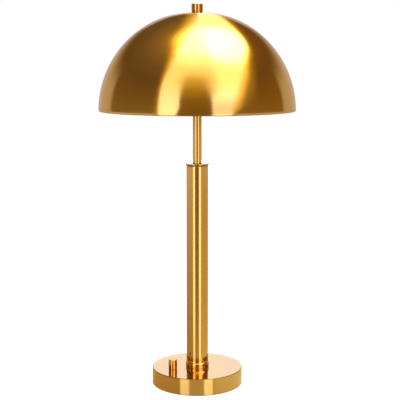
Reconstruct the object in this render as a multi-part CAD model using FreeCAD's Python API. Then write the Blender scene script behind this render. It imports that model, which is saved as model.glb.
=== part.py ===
import FreeCAD
import Part

import math
import os

# Table lamp with a hemispherical shade, in millimetres. The origin is on the table at the middle of
# the base, +Z is up, and the front of the lamp faces -Y.

# Clearances
SNUG = 0.05            # radial gap of a piece that is pushed or screwed into another
RUNNING = 0.05         # radial gap of a turning shaft in its bearing
EASE = 0.3             # gap between a moving face and what it passes

# Base
BASE_RADIUS = 79.5
BASE_HEIGHT = 30.0
BASE_TOP_WALL = 2.5
BASE_SIDE_WALL = 1.6
BASE_EDGE_RADIUS = 0.9
SKIRT_LIFT = 1.2       # lower edge of the skirt above the table
PAD_THICKNESS = 1.6
PAD_MARGIN = 0.6       # the pad is this much smaller than the skirt's bore
PLATE_THICKNESS = 1.2
RECESS_RADIUS = 38.0
WEB_THICKNESS = 7.5    # iron left over the recess
POCKET_GAP = 2.5       # room round the dimmer in the weight
CHANNEL_WIDTH = 18.0
CHANNEL_ROOF = 22.0    # height of the cord channel's roof above the table

# Screws of the bottom plate
PLATE_SCREW_COUNT = 3
PLATE_SCREW_CIRCLE = 60.0
PLATE_SCREW_RADIUS = 2.0
PLATE_SCREW_HEAD_RADIUS = 3.8
PLATE_SCREW_LENGTH = 10.0
FIRST_SCREW_ANGLE = 30.0

# Dimmer and its knob
KNOB_REACH = 46.9      # from the lamp's axis
KNOB_ANGLE = 203.4     # from +X, seen from above
KNOB_RADIUS = 7.5
KNOB_HEIGHT = 16.8
KNOB_EDGE = 0.5
KNOB_ROOF = 3.0        # metal over the shaft's end
DIMMER_RADIUS = 12.0
DIMMER_DEPTH = 14.0
BUSH_RADIUS = 3.5      # threaded bush of the dimmer
BUSH_HEIGHT = 4.0      # above the base's top
SHAFT_RADIUS = 2.5
SHAFT_FOOT = 5.0       # depth of the shaft in the dimmer's body
DIMMER_WASHER_RADIUS = 5.0
DIMMER_WASHER_THICKNESS = 0.5
DIMMER_NUT_FLATS = 9.0
DIMMER_NUT_THICKNESS = 2.2
SET_SCREW_RADIUS = 1.4
SET_SCREW_HEIGHT = 10.5  # above the base's top

# Cord bush at the back of the base
INLET_HEIGHT = 13.0
INLET_BORE_RADIUS = 3.2
INLET_WALL = 1.3
INLET_FLANGE_RADIUS = 6.5
INLET_FLANGE_THICKNESS = 2.0
INLET_DEPTH = 9.0
INLET_NUT_FLATS = 12.0
INLET_NUT_THICKNESS = 2.5

# Lamp pipe, with its washer and nut
PIPE_RADIUS = 4.8
PIPE_WALL = 1.3
PIPE_OVERHANG = 1.0    # below the nut
PIPE_INTO_SOCKET = 7.0
LOCK_WASHER_RADIUS = 9.5
LOCK_WASHER_THICKNESS = 1.4
PIPE_NUT_FLATS = 17.0
PIPE_NUT_THICKNESS = 6.0

# Column
COLUMN_RADIUS = 19.05
COLUMN_WALL = 1.6
COLUMN_TOP = 392.4     # top face of the cap above the table
LIP_RADIUS = 20.9      # the thin edge of the cap
LIP_THICKNESS = 1.7
CAP_FLARE_HEIGHT = 3.8
BEAD_RADIUS = 20.3
BEAD_HEIGHT = 9.2
BEAD_FOOT_INSET = 1.5
GROOVE_DEPTH = 0.7     # the flares' wide ends inside the bead's and the lip's radius
COLLAR_FLARE_HEIGHT = 4.4
SPIGOT_LENGTH = 8.0

# Stem
STEM_RADIUS = 7.65
STEM_WALL = 1.4
NECK_RING_RADIUS = 9.5
NECK_RING_HEIGHT = 4.0
NECK_RING_EDGE = 0.8

# Shade
SHADE_RIM_HEIGHT = 483.1
SHADE_RADIUS = 169.3
SHADE_WALL = 0.9
HEM_RADIUS = 1.2       # section of the rim, which is curled inwards
CROWN_FLAT_RADIUS = 10.4
SHADE_HOLE_RADIUS = 3.7
UPPER_WASHER_RADIUS = 9.0
UPPER_WASHER_THICKNESS = 0.8
LOWER_WASHER_RADIUS = 8.8
LOWER_WASHER_THICKNESS = 1.0

# Finial
FINIAL_RADIUS = 9.8
FINIAL_HEIGHT = 11.3
FINIAL_EDGE = 0.5
FINIAL_ROOF = 4.0      # metal over the stud's hole

# Harp
HARP_HEIGHT = 152.0    # from the saddle's seat to the face that the shade rests on
HARP_WIRE_RADIUS = 1.6
LEG_SPREAD = 27.0      # from the lamp's axis to a leg
LEG_LENGTH = 22.0
BOW_REACH = 50.0       # from the lamp's axis to the widest part of the bow
LOWER_BEND_RADIUS = 25.0
LOWER_BEND_ANGLE = 35.0
MIDDLE_BEND_RADIUS = 45.0
CORNER_RADIUS = 40.0
HUB_RADIUS = 7.0
HUB_HEIGHT = 7.0
STUD_RADIUS = 3.15
STUD_TIP_GAP = 0.6     # between the stud's end and the roof of the finial's hole
SADDLE_THICKNESS = 1.2
SADDLE_WIDTH = 10.0
SADDLE_BEND_RADIUS = 3.0
SHOULDER_HEIGHT = 8.0  # from the saddle's underside to the ferrules' seat
TONGUE_WIDTH = 4.6
TONGUE_HEIGHT = 8.0
FERRULE_LENGTH = 15.0
FERRULE_WALL = 1.3
FERRULE_EDGE = 0.4

# Lamp holder
HOLDER_RADIUS = 16.8   # outside of the socket shell
HOLDER_SHELL_WALL = 0.6
HOLDER_SHELL_LENGTH = 37.0
HOLDER_CAP_WALL = 0.8
HOLDER_CAP_NECK_RADIUS = 7.6
HOLDER_CAP_NECK_HEIGHT = 3.5
HOLDER_CAP_BELL_HEIGHT = 11.0
HOLDER_CAP_LAP = 7.0   # the cap's rim over the shell
LINER_WALL = 0.6
INSULATOR_RADIUS = 13.4
INSULATOR_HEIGHT = 10.0
INSULATOR_FLANGE = 2.0
SCREW_SHELL_WALL = 0.4
SCREW_SHELL_HEIGHT = 24.0
SCREW_SHELL_HOLE_RADIUS = 7.0
CONTACT_RADIUS = 4.0
CONTACT_HEIGHT = 2.0
TERMINAL_HEAD_RADIUS = 2.3
TERMINAL_HEAD_THICKNESS = 1.2
TERMINAL_SHANK_RADIUS = 1.3
TERMINAL_SHANK_LENGTH = 4.0

# Bulb
BULB_LENGTH = 89.0
BULB_RADIUS = 24.0
BULB_NECK_RADIUS = 12.2
BULB_NECK_LENGTH = 10.0
BULB_SHOULDER_ANGLE = 52.0  # below the widest part, where the globe runs into the neck
GLASS_WALL = 0.8
GLASS_SEAT = 5.0       # the neck's foot inside the screw base
SCREW_BASE_RADIUS = 13.0
SCREW_BASE_WALL = 0.3
SCREW_BASE_HEIGHT = 22.0
BULB_INSULATOR_HEIGHT = 2.4
BULB_CONTACT_RADIUS = 4.6
BULB_CONTACT_HEIGHT = 1.2

# Leads inside the lamp
LEAD_RADIUS = 1.0
LEAD_SPREAD = 1.3      # each lead's distance from the pipe's axis
LEAD_BEND_RADIUS = 3.4
RETURN_LEAD_REACH = 20.0
RETURN_LEAD_ANGLE = 50.0
CONNECTOR_RADIUS = 3.4
CONNECTOR_TIP_RADIUS = 2.2
CONNECTOR_LENGTH = 14.0
CONNECTOR_LAP = 3.0    # the lead's end inside the connector

# Heights worked out from the sizes above
BASE_CEILING = BASE_HEIGHT - BASE_TOP_WALL
SKIRT_BORE_RADIUS = BASE_RADIUS - BASE_SIDE_WALL
PLATE_TOP = PAD_THICKNESS + PLATE_THICKNESS
WEIGHT_RADIUS = SKIRT_BORE_RADIUS - SNUG
RECESS_ROOF = BASE_CEILING - WEB_THICKNESS
PIPE_NUT_TOP = RECESS_ROOF - LOCK_WASHER_THICKNESS
PIPE_NUT_FOOT = PIPE_NUT_TOP - PIPE_NUT_THICKNESS
PIPE_FOOT = PIPE_NUT_FOOT - PIPE_OVERHANG
LEAD_LEVEL = PLATE_TOP + CONNECTOR_RADIUS + EASE
DIMMER_FOOT = BASE_CEILING - DIMMER_DEPTH
COLLAR_TOP = BASE_HEIGHT + BEAD_HEIGHT + COLLAR_FLARE_HEIGHT
CAP_FOOT = COLUMN_TOP - LIP_THICKNESS - CAP_FLARE_HEIGHT
COLUMN_BORE_RADIUS = COLUMN_RADIUS - COLUMN_WALL
SPIGOT_RADIUS = COLUMN_BORE_RADIUS - SNUG
PIPE_HOLE_RADIUS = PIPE_RADIUS + SNUG
SHADE_CENTRE = SHADE_RIM_HEIGHT
CROWN_TOP = SHADE_CENTRE + math.sqrt(SHADE_RADIUS ** 2 - CROWN_FLAT_RADIUS ** 2)
CROWN_UNDERSIDE = CROWN_TOP - SHADE_WALL
HARP_SEAT_TOP = CROWN_UNDERSIDE - LOWER_WASHER_THICKNESS
WIRE_TOP = HARP_SEAT_TOP - HUB_HEIGHT / 2
SADDLE_SEAT = HARP_SEAT_TOP - HARP_HEIGHT
SADDLE_TOP = SADDLE_SEAT + SADDLE_THICKNESS
FERRULE_SEAT = SADDLE_SEAT + SHOULDER_HEIGHT
LEG_FOOT = FERRULE_SEAT + TONGUE_HEIGHT
STEM_TOP = SADDLE_SEAT - NECK_RING_HEIGHT
FINIAL_FOOT = CROWN_TOP + UPPER_WASHER_THICKNESS
FINIAL_TOP = FINIAL_FOOT + FINIAL_HEIGHT
STUD_HOLE_ROOF = FINIAL_TOP - FINIAL_ROOF
HOLDER_SHELL_FOOT = SADDLE_TOP + HOLDER_CAP_NECK_HEIGHT + HOLDER_CAP_BELL_HEIGHT
HOLDER_SHELL_TOP = HOLDER_SHELL_FOOT + HOLDER_SHELL_LENGTH
LINER_RADIUS = HOLDER_RADIUS - HOLDER_SHELL_WALL - SNUG
LINER_BORE_RADIUS = LINER_RADIUS - LINER_WALL
INSULATOR_TOP = HOLDER_SHELL_FOOT + INSULATOR_HEIGHT
BULB_FOOT = INSULATOR_TOP + CONTACT_HEIGHT
SCREW_BASE_FOOT = BULB_FOOT + BULB_CONTACT_HEIGHT + BULB_INSULATOR_HEIGHT
SCREW_BASE_TOP = SCREW_BASE_FOOT + SCREW_BASE_HEIGHT
BULB_TOP = BULB_FOOT + BULB_LENGTH
KNOB_X = KNOB_REACH * math.cos(math.radians(KNOB_ANGLE))
KNOB_Y = KNOB_REACH * math.sin(math.radians(KNOB_ANGLE))
KNOB_FOOT = BASE_HEIGHT + EASE
KNOB_TOP = KNOB_FOOT + KNOB_HEIGHT
SHAFT_TOP = KNOB_TOP - KNOB_ROOF

Vector = FreeCAD.Vector
UP = Vector(0, 0, 1)
AXIS_FOOT = Vector(0, 0, 0)


def hexagon_corner(flats):
    return flats / math.sqrt(3)


def disc(radius, low, high, x=0.0, y=0.0):
    """A cylinder that stands between two heights."""
    return Part.makeCylinder(radius, high - low, Vector(x, y, low))


def ring(radius, bore, low, high, x=0.0, y=0.0):
    """A cylinder with a hole along its axis."""
    return disc(radius, low, high, x, y).cut(disc(bore, low, high, x, y))


def hexagon_nut(flats, bore, low, high, x=0.0, y=0.0):
    """A six-sided nut that lies flat."""
    corners = []
    for side in range(7):
        angle = math.radians(60 * side)
        reach = hexagon_corner(flats)
        corners.append(Vector(x + reach * math.cos(angle), y + reach * math.sin(angle), low))
    prism = Part.Face(Part.makePolygon(corners)).extrude(Vector(0, 0, high - low))
    return prism.cut(disc(bore, low, high, x, y))


def turned(start, *steps):
    """A solid turned about +Z. Each step of its outline is the point (radius, height) where a line
    ends, or the pair of a point on an arc and the point where the arc ends."""
    edges = []
    here = start
    for step in steps + (start,):
        if isinstance(step[0], tuple):
            middle, there = step
            arc = Part.Arc(section_point(here), section_point(middle), section_point(there))
            edges.append(arc.toShape())
        else:
            there = step
            edges.append(Part.makeLine(section_point(here), section_point(there)))
        here = there
    return Part.Face(Part.Wire(edges)).revolve(AXIS_FOOT, UP, 360)


def section_point(point):
    return Vector(point[0], 0, point[1])


def on_circle(radius, degrees, centre_height):
    """The point of an outline on a circle about the axis, at an angle above the level."""
    angle = math.radians(degrees)
    return (radius * math.cos(angle), centre_height + radius * math.sin(angle))


def rounded_corner(radius, height, edge):
    """The arc over an outside top corner: the point halfway round and the end at its side."""
    inset = edge * (1 - math.sqrt(0.5))
    return ((radius - inset, height - inset), (radius, height - edge))


def pipe_along(edges, radius):
    """A round bar that follows edges that join smoothly."""
    path = Part.Wire(edges)
    start = edges[0].valueAt(edges[0].FirstParameter)
    heading = edges[0].tangentAt(edges[0].FirstParameter)
    section = Part.Wire([Part.makeCircle(radius, start, heading)])
    return path.makePipeShell([section], True, False)


# ---------------------------------------------------------------- base


def base_shell():
    """Plated steel cover, drawn in one piece, open below."""
    shell = turned(
        (PIPE_HOLE_RADIUS, BASE_CEILING),
        (PIPE_HOLE_RADIUS, BASE_HEIGHT),
        (BASE_RADIUS - BASE_EDGE_RADIUS, BASE_HEIGHT),
        rounded_corner(BASE_RADIUS, BASE_HEIGHT, BASE_EDGE_RADIUS),
        (BASE_RADIUS, SKIRT_LIFT),
        (SKIRT_BORE_RADIUS, SKIRT_LIFT),
        (SKIRT_BORE_RADIUS, BASE_CEILING),
    )
    shell = shell.cut(disc(BUSH_RADIUS + SNUG, BASE_CEILING, BASE_HEIGHT, KNOB_X, KNOB_Y))
    inlet = Part.makeCylinder(
        INLET_BORE_RADIUS + INLET_WALL + SNUG, BASE_RADIUS, Vector(0, 0, INLET_HEIGHT), Vector(0, 1, 0)
    )
    return shell.cut(inlet)


def base_weight():
    """Iron casting that fills the shell, with room for the dimmer, the pipe's nut and the leads."""
    weight = ring(WEIGHT_RADIUS, PIPE_HOLE_RADIUS, PLATE_TOP, BASE_CEILING)
    weight = weight.cut(disc(RECESS_RADIUS, PLATE_TOP, RECESS_ROOF))
    pocket = disc(DIMMER_RADIUS + POCKET_GAP, PLATE_TOP, BASE_CEILING, KNOB_X, KNOB_Y)
    weight = weight.cut(pocket)
    channel = Part.makeBox(
        CHANNEL_WIDTH,
        BASE_RADIUS,
        CHANNEL_ROOF - PLATE_TOP,
        Vector(-CHANNEL_WIDTH / 2, RECESS_RADIUS / 2, PLATE_TOP),
    )
    above_recess = disc(RECESS_RADIUS, RECESS_ROOF, BASE_CEILING)
    weight = weight.cut(channel.cut(above_recess))
    for x, y in plate_screw_places():
        hole = disc(PLATE_SCREW_RADIUS, PLATE_TOP, PAD_THICKNESS + PLATE_SCREW_LENGTH, x, y)
        weight = weight.cut(hole)
    return weight


def plate_screw_places():
    places = []
    for index in range(PLATE_SCREW_COUNT):
        angle = math.radians(FIRST_SCREW_ANGLE + 360 * index / PLATE_SCREW_COUNT)
        places.append((PLATE_SCREW_CIRCLE * math.cos(angle), PLATE_SCREW_CIRCLE * math.sin(angle)))
    return places


def plate_screw(x, y):
    """Countersunk screw, its head flush with the plate's underside."""
    head = Part.makeCone(
        PLATE_SCREW_HEAD_RADIUS, PLATE_SCREW_RADIUS, PLATE_THICKNESS, Vector(x, y, PAD_THICKNESS)
    )
    shank = disc(PLATE_SCREW_RADIUS, PLATE_TOP, PAD_THICKNESS + PLATE_SCREW_LENGTH, x, y)
    return head.fuse(shank).removeSplitter()


def plate_screws():
    return Part.makeCompound([plate_screw(x, y) for x, y in plate_screw_places()])


def bottom_plate():
    """Sheet steel cover that closes the base."""
    plate = disc(WEIGHT_RADIUS, PAD_THICKNESS, PLATE_TOP)
    for x, y in plate_screw_places():
        plate = plate.cut(plate_screw(x, y))
    return plate


def foot_pad():
    return disc(SKIRT_BORE_RADIUS - PAD_MARGIN, 0, PAD_THICKNESS)


def cord_bush():
    """Flanged bush that lines the cord's hole in the skirt."""
    across = Vector(0, 1, 0)
    outer = INLET_BORE_RADIUS + INLET_WALL
    inner_end = Vector(0, BASE_RADIUS - INLET_DEPTH, INLET_HEIGHT)
    length = INLET_DEPTH + INLET_FLANGE_THICKNESS
    sleeve = Part.makeCylinder(outer, length, inner_end, across)
    flange_foot = Vector(0, BASE_RADIUS, INLET_HEIGHT)
    flange = Part.makeCylinder(INLET_FLANGE_RADIUS, INLET_FLANGE_THICKNESS, flange_foot, across)
    bore = Part.makeCylinder(INLET_BORE_RADIUS, length, inner_end, across)
    return sleeve.fuse(flange).removeSplitter().cut(bore)


def bush_nut():
    """Nut that holds the bush from inside the skirt."""
    reach = hexagon_corner(INLET_NUT_FLATS)
    outer_end = math.sqrt(SKIRT_BORE_RADIUS ** 2 - reach ** 2)
    nut = hexagon_nut(
        INLET_NUT_FLATS, INLET_BORE_RADIUS + INLET_WALL, -outer_end, INLET_NUT_THICKNESS - outer_end
    )
    nut.rotate(AXIS_FOOT, Vector(1, 0, 0), 90)
    nut.translate(Vector(0, 0, INLET_HEIGHT))
    return nut


# ---------------------------------------------------------------- dimmer


def dimmer_body():
    """Closed can with the threaded bush that holds it to the base's top."""
    can = disc(DIMMER_RADIUS, DIMMER_FOOT, BASE_CEILING, KNOB_X, KNOB_Y)
    bush = disc(BUSH_RADIUS, BASE_CEILING, BASE_HEIGHT + BUSH_HEIGHT, KNOB_X, KNOB_Y)
    bore = disc(
        SHAFT_RADIUS + RUNNING, BASE_CEILING - SHAFT_FOOT, BASE_HEIGHT + BUSH_HEIGHT, KNOB_X, KNOB_Y
    )
    return can.fuse(bush).cut(bore)


def dimmer_washer():
    return ring(
        DIMMER_WASHER_RADIUS, BUSH_RADIUS, BASE_HEIGHT, BASE_HEIGHT + DIMMER_WASHER_THICKNESS, KNOB_X, KNOB_Y
    )


def dimmer_nut():
    low = BASE_HEIGHT + DIMMER_WASHER_THICKNESS
    return hexagon_nut(DIMMER_NUT_FLATS, BUSH_RADIUS, low, low + DIMMER_NUT_THICKNESS, KNOB_X, KNOB_Y)


def dimmer_shaft():
    return disc(SHAFT_RADIUS, BASE_CEILING - SHAFT_FOOT, SHAFT_TOP, KNOB_X, KNOB_Y)


def set_screw(margin=0.0):
    """Grub screw that bears on the shaft from the back of the knob."""
    foot = Vector(KNOB_X, KNOB_Y + SHAFT_RADIUS, BASE_HEIGHT + SET_SCREW_HEIGHT)
    length = KNOB_RADIUS - SHAFT_RADIUS - EASE + margin
    return Part.makeCylinder(SET_SCREW_RADIUS, length, foot, Vector(0, 1, 0)).cut(dimmer_shaft())


def dimmer_knob():
    """Turned brass knob, hollow below to cover the dimmer's nut."""
    knob = turned(
        (0, KNOB_FOOT),
        (KNOB_RADIUS, KNOB_FOOT),
        (KNOB_RADIUS, KNOB_TOP - KNOB_EDGE),
        (KNOB_RADIUS - KNOB_EDGE, KNOB_TOP),
        (0, KNOB_TOP),
    )
    knob.translate(Vector(KNOB_X, KNOB_Y, 0))
    nut_top = BASE_HEIGHT + DIMMER_WASHER_THICKNESS + DIMMER_NUT_THICKNESS
    cover_top = max(nut_top, BASE_HEIGHT + BUSH_HEIGHT) + EASE
    cover_radius = max(hexagon_corner(DIMMER_NUT_FLATS), DIMMER_WASHER_RADIUS) + EASE
    knob = knob.cut(disc(cover_radius, KNOB_FOOT, cover_top, KNOB_X, KNOB_Y))
    knob = knob.cut(disc(SHAFT_RADIUS, KNOB_FOOT, SHAFT_TOP, KNOB_X, KNOB_Y))
    return knob.cut(set_screw(2 * EASE))


# ---------------------------------------------------------------- column and stem


def lamp_pipe():
    """Threaded pipe that draws the whole stand together and carries the leads."""
    return ring(PIPE_RADIUS, PIPE_RADIUS - PIPE_WALL, PIPE_FOOT, SADDLE_TOP + PIPE_INTO_SOCKET)


def lock_washer():
    return ring(LOCK_WASHER_RADIUS, PIPE_HOLE_RADIUS, PIPE_NUT_TOP, RECESS_ROOF)


def pipe_nut():
    return hexagon_nut(PIPE_NUT_FLATS, PIPE_RADIUS, PIPE_NUT_FOOT, PIPE_NUT_TOP)


def hollow_flare(low, height, foot_radius, top_radius):
    """A quarter-hollow moulding between two radii: a point on its curve and its end."""
    middle = (
        top_radius + (foot_radius - top_radius) * (1 - math.sqrt(0.5)),
        low + height * (1 - math.sqrt(0.5)),
    )
    return (middle, (top_radius, low + height))


def column_collar():
    """Turned foot of the column: a half-round bead, a groove and a hollow flare up to the tube."""
    bead_top = BASE_HEIGHT + BEAD_HEIGHT
    foot = BEAD_RADIUS - BEAD_FOOT_INSET
    groove = BEAD_RADIUS - GROOVE_DEPTH
    return turned(
        (PIPE_HOLE_RADIUS, BASE_HEIGHT),
        (foot, BASE_HEIGHT),
        ((BEAD_RADIUS, BASE_HEIGHT + BEAD_HEIGHT / 2), (foot, bead_top)),
        (groove, bead_top),
        hollow_flare(bead_top, COLLAR_FLARE_HEIGHT, groove, COLUMN_RADIUS),
        (SPIGOT_RADIUS, COLLAR_TOP),
        (SPIGOT_RADIUS, COLLAR_TOP + SPIGOT_LENGTH),
        (PIPE_HOLE_RADIUS, COLLAR_TOP + SPIGOT_LENGTH),
    )


def column_tube():
    return ring(COLUMN_RADIUS, COLUMN_BORE_RADIUS, COLLAR_TOP, CAP_FOOT)


def column_cap():
    """Turned head of the column: a hollow flare out to a thin lip."""
    lip_foot = COLUMN_TOP - LIP_THICKNESS
    flare_edge = LIP_RADIUS - GROOVE_DEPTH / 2
    middle = (
        COLUMN_RADIUS + (flare_edge - COLUMN_RADIUS) * (1 - math.sqrt(0.5)),
        lip_foot - CAP_FLARE_HEIGHT * (1 - math.sqrt(0.5)),
    )
    return turned(
        (PIPE_HOLE_RADIUS, CAP_FOOT - SPIGOT_LENGTH),
        (SPIGOT_RADIUS, CAP_FOOT - SPIGOT_LENGTH),
        (SPIGOT_RADIUS, CAP_FOOT),
        (COLUMN_RADIUS, CAP_FOOT),
        (middle, (flare_edge, lip_foot)),
        (LIP_RADIUS, lip_foot),
        (LIP_RADIUS, COLUMN_TOP),
        (PIPE_HOLE_RADIUS, COLUMN_TOP),
    )


def stem_tube():
    return ring(STEM_RADIUS, STEM_RADIUS - STEM_WALL, COLUMN_TOP, STEM_TOP)


def neck_ring():
    """Threaded ring that clamps the stem and carries the saddle."""
    return turned(
        (PIPE_RADIUS, STEM_TOP),
        (NECK_RING_RADIUS - NECK_RING_EDGE, STEM_TOP),
        (NECK_RING_RADIUS, STEM_TOP + NECK_RING_EDGE),
        (NECK_RING_RADIUS, SADDLE_SEAT - NECK_RING_EDGE),
        (NECK_RING_RADIUS - NECK_RING_EDGE, SADDLE_SEAT),
        (PIPE_RADIUS, SADDLE_SEAT),
    )


# ---------------------------------------------------------------- harp


def harp_saddle():
    """Pressed steel strip with two upturned arms, each with a narrow tongue at its end."""
    outer = LEG_SPREAD + SADDLE_THICKNESS / 2
    inner = LEG_SPREAD - SADDLE_THICKNESS / 2
    bend_x = outer - SADDLE_BEND_RADIUS
    bend_z = SADDLE_SEAT + SADDLE_BEND_RADIUS
    inner_bend = SADDLE_BEND_RADIUS - SADDLE_THICKNESS
    diagonal = math.sqrt(0.5)
    seat = -SADDLE_WIDTH / 2

    def point(x, z):
        return Vector(x, seat, z)

    outer_middle = point(bend_x + SADDLE_BEND_RADIUS * diagonal, bend_z - SADDLE_BEND_RADIUS * diagonal)
    inner_middle = point(bend_x + inner_bend * diagonal, bend_z - inner_bend * diagonal)
    edges = [
        Part.makeLine(point(0, SADDLE_SEAT), point(bend_x, SADDLE_SEAT)),
        Part.Arc(point(bend_x, SADDLE_SEAT), outer_middle, point(outer, bend_z)).toShape(),
        Part.makeLine(point(outer, bend_z), point(outer, FERRULE_SEAT)),
        Part.makeLine(point(outer, FERRULE_SEAT), point(inner, FERRULE_SEAT)),
        Part.makeLine(point(inner, FERRULE_SEAT), point(inner, bend_z)),
        Part.Arc(point(inner, bend_z), inner_middle, point(bend_x, SADDLE_TOP)).toShape(),
        Part.makeLine(point(bend_x, SADDLE_TOP), point(0, SADDLE_TOP)),
        Part.makeLine(point(0, SADDLE_TOP), point(0, SADDLE_SEAT)),
    ]
    half = Part.Face(Part.Wire(edges)).extrude(Vector(0, SADDLE_WIDTH, 0))
    tongue = Part.makeBox(
        SADDLE_THICKNESS, TONGUE_WIDTH, TONGUE_HEIGHT, Vector(inner, -TONGUE_WIDTH / 2, FERRULE_SEAT)
    )
    half = half.fuse(tongue)
    other_half = half.mirror(AXIS_FOOT, Vector(1, 0, 0))
    saddle = half.fuse(other_half).removeSplitter()
    return saddle.cut(disc(PIPE_HOLE_RADIUS, SADDLE_SEAT, SADDLE_TOP))


class BentWire:
    """The centre line of a wire bent in the XZ plane, drawn as runs and turns that join smoothly."""

    def __init__(self, x, z, heading):
        self.x = x
        self.z = z
        self.heading = heading
        self.edges = []

    def here(self):
        return Vector(self.x, 0, self.z)

    def run(self, length):
        start = self.here()
        self.x += length * math.cos(self.heading)
        self.z += length * math.sin(self.heading)
        self.edges.append(Part.makeLine(start, self.here()))

    def turn(self, radius, degrees):
        """Positive turns are to the left of the heading."""
        side = math.copysign(math.pi / 2, degrees)
        centre_x = self.x + radius * math.cos(self.heading + side)
        centre_z = self.z + radius * math.sin(self.heading + side)
        sweep = math.radians(degrees)
        start = self.here()
        points = []
        for share in (0.5, 1.0):
            angle = self.heading - side + sweep * share
            points.append((centre_x + radius * math.cos(angle), centre_z + radius * math.sin(angle)))
        middle = Vector(points[0][0], 0, points[0][1])
        self.x, self.z = points[1]
        self.heading += sweep
        self.edges.append(Part.Arc(start, middle, self.here()).toShape())


def harp_bow():
    """One length of wire, bent outwards from its two legs and square across its top."""
    angle = math.radians(LOWER_BEND_ANGLE)
    bends_out = (LOWER_BEND_RADIUS + MIDDLE_BEND_RADIUS) * (1 - math.cos(angle))
    slope = (BOW_REACH - LEG_SPREAD - bends_out) / math.sin(angle)
    bends_up = (LOWER_BEND_RADIUS + MIDDLE_BEND_RADIUS) * math.sin(angle)
    risen = LEG_LENGTH + bends_up + slope * math.cos(angle)
    side = WIRE_TOP - CORNER_RADIUS - LEG_FOOT - risen
    wire = BentWire(LEG_SPREAD, LEG_FOOT, math.pi / 2)
    wire.run(LEG_LENGTH)
    wire.turn(LOWER_BEND_RADIUS, -LOWER_BEND_ANGLE)
    wire.run(slope)
    wire.turn(MIDDLE_BEND_RADIUS, LOWER_BEND_ANGLE)
    wire.run(side)
    wire.turn(CORNER_RADIUS, 90)
    wire.run(2 * (BOW_REACH - CORNER_RADIUS))
    wire.turn(CORNER_RADIUS, 90)
    wire.run(side)
    wire.turn(MIDDLE_BEND_RADIUS, LOWER_BEND_ANGLE)
    wire.run(slope)
    wire.turn(LOWER_BEND_RADIUS, -LOWER_BEND_ANGLE)
    wire.run(LEG_LENGTH)
    return pipe_along(wire.edges, HARP_WIRE_RADIUS)


def harp_seat():
    """Turned hub on the middle of the bow, with the stud that the finial screws onto."""
    hub = disc(HUB_RADIUS, HARP_SEAT_TOP - HUB_HEIGHT, HARP_SEAT_TOP)
    stud = disc(STUD_RADIUS, HARP_SEAT_TOP, STUD_HOLE_ROOF - STUD_TIP_GAP)
    crossing = Part.makeCylinder(
        HARP_WIRE_RADIUS, 4 * HUB_RADIUS, Vector(-2 * HUB_RADIUS, 0, WIRE_TOP), Vector(1, 0, 0)
    )
    return hub.fuse(stud).cut(crossing)


def ferrule(side):
    """Sleeve that drops over a leg's foot and the saddle's tongue to lock them."""
    bore = math.hypot(TONGUE_WIDTH, SADDLE_THICKNESS) / 2 + EASE
    radius = bore + FERRULE_WALL
    top = FERRULE_SEAT + FERRULE_LENGTH
    sleeve = turned(
        (bore, FERRULE_SEAT),
        (radius - FERRULE_EDGE, FERRULE_SEAT),
        (radius, FERRULE_SEAT + FERRULE_EDGE),
        (radius, top - FERRULE_EDGE),
        (radius - FERRULE_EDGE, top),
        (bore, top),
    )
    sleeve.translate(Vector(side * LEG_SPREAD, 0, 0))
    return sleeve


# ---------------------------------------------------------------- lamp holder


def socket_cap():
    """Spun brass bell, screwed onto the pipe over the saddle."""
    neck = HOLDER_CAP_NECK_RADIUS
    neck_top = SADDLE_TOP + HOLDER_CAP_NECK_HEIGHT
    rim = HOLDER_RADIUS + SNUG + HOLDER_CAP_WALL
    rim_top = HOLDER_SHELL_FOOT + HOLDER_CAP_LAP
    bulge = math.sqrt(0.5)
    outer_middle = (
        neck + (rim - neck) * bulge,
        HOLDER_SHELL_FOOT - HOLDER_CAP_BELL_HEIGHT * bulge,
    )
    inner_rim = HOLDER_RADIUS + SNUG
    inner_foot = neck_top + HOLDER_CAP_WALL
    inner_middle = (
        PIPE_RADIUS + (inner_rim - PIPE_RADIUS) * bulge,
        HOLDER_SHELL_FOOT - (HOLDER_SHELL_FOOT - inner_foot) * bulge,
    )
    return turned(
        (PIPE_RADIUS, SADDLE_TOP),
        (neck, SADDLE_TOP),
        (neck, neck_top),
        (outer_middle, (rim, HOLDER_SHELL_FOOT)),
        (rim, rim_top),
        (inner_rim, rim_top),
        (inner_rim, HOLDER_SHELL_FOOT),
        (inner_middle, (PIPE_RADIUS, inner_foot)),
    )


def socket_shell():
    return ring(HOLDER_RADIUS, HOLDER_RADIUS - HOLDER_SHELL_WALL, HOLDER_SHELL_FOOT, HOLDER_SHELL_TOP)


def socket_liner():
    """Fibre sleeve between the brass shell and the live parts."""
    return ring(LINER_RADIUS, LINER_BORE_RADIUS, HOLDER_SHELL_FOOT, HOLDER_SHELL_TOP)


def socket_insulator():
    """Moulded body that carries the terminals, with a flange that fits the liner."""
    body = disc(INSULATOR_RADIUS, HOLDER_SHELL_FOOT, INSULATOR_TOP)
    flange = disc(
        LINER_BORE_RADIUS - SNUG, HOLDER_SHELL_FOOT, HOLDER_SHELL_FOOT + INSULATOR_FLANGE
    )
    body = body.fuse(flange)
    for side in (-1, 1):
        body = body.cut(terminal_screw(side))
    return body


def terminal_height():
    flange_top = HOLDER_SHELL_FOOT + INSULATOR_FLANGE
    return (flange_top + INSULATOR_TOP) / 2


def terminal_screw(side):
    """Screw that clamps a lead to the side of the insulator."""
    outward = Vector(side, 0, 0)
    shank_foot = Vector(side * (INSULATOR_RADIUS - TERMINAL_SHANK_LENGTH), 0, terminal_height())
    shank = Part.makeCylinder(TERMINAL_SHANK_RADIUS, TERMINAL_SHANK_LENGTH, shank_foot, outward)
    head_foot = Vector(side * INSULATOR_RADIUS, 0, terminal_height())
    head = Part.makeCylinder(TERMINAL_HEAD_RADIUS, TERMINAL_HEAD_THICKNESS, head_foot, outward)
    return shank.fuse(head)


def terminal_screws():
    return Part.makeCompound([terminal_screw(side) for side in (-1, 1)])


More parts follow.
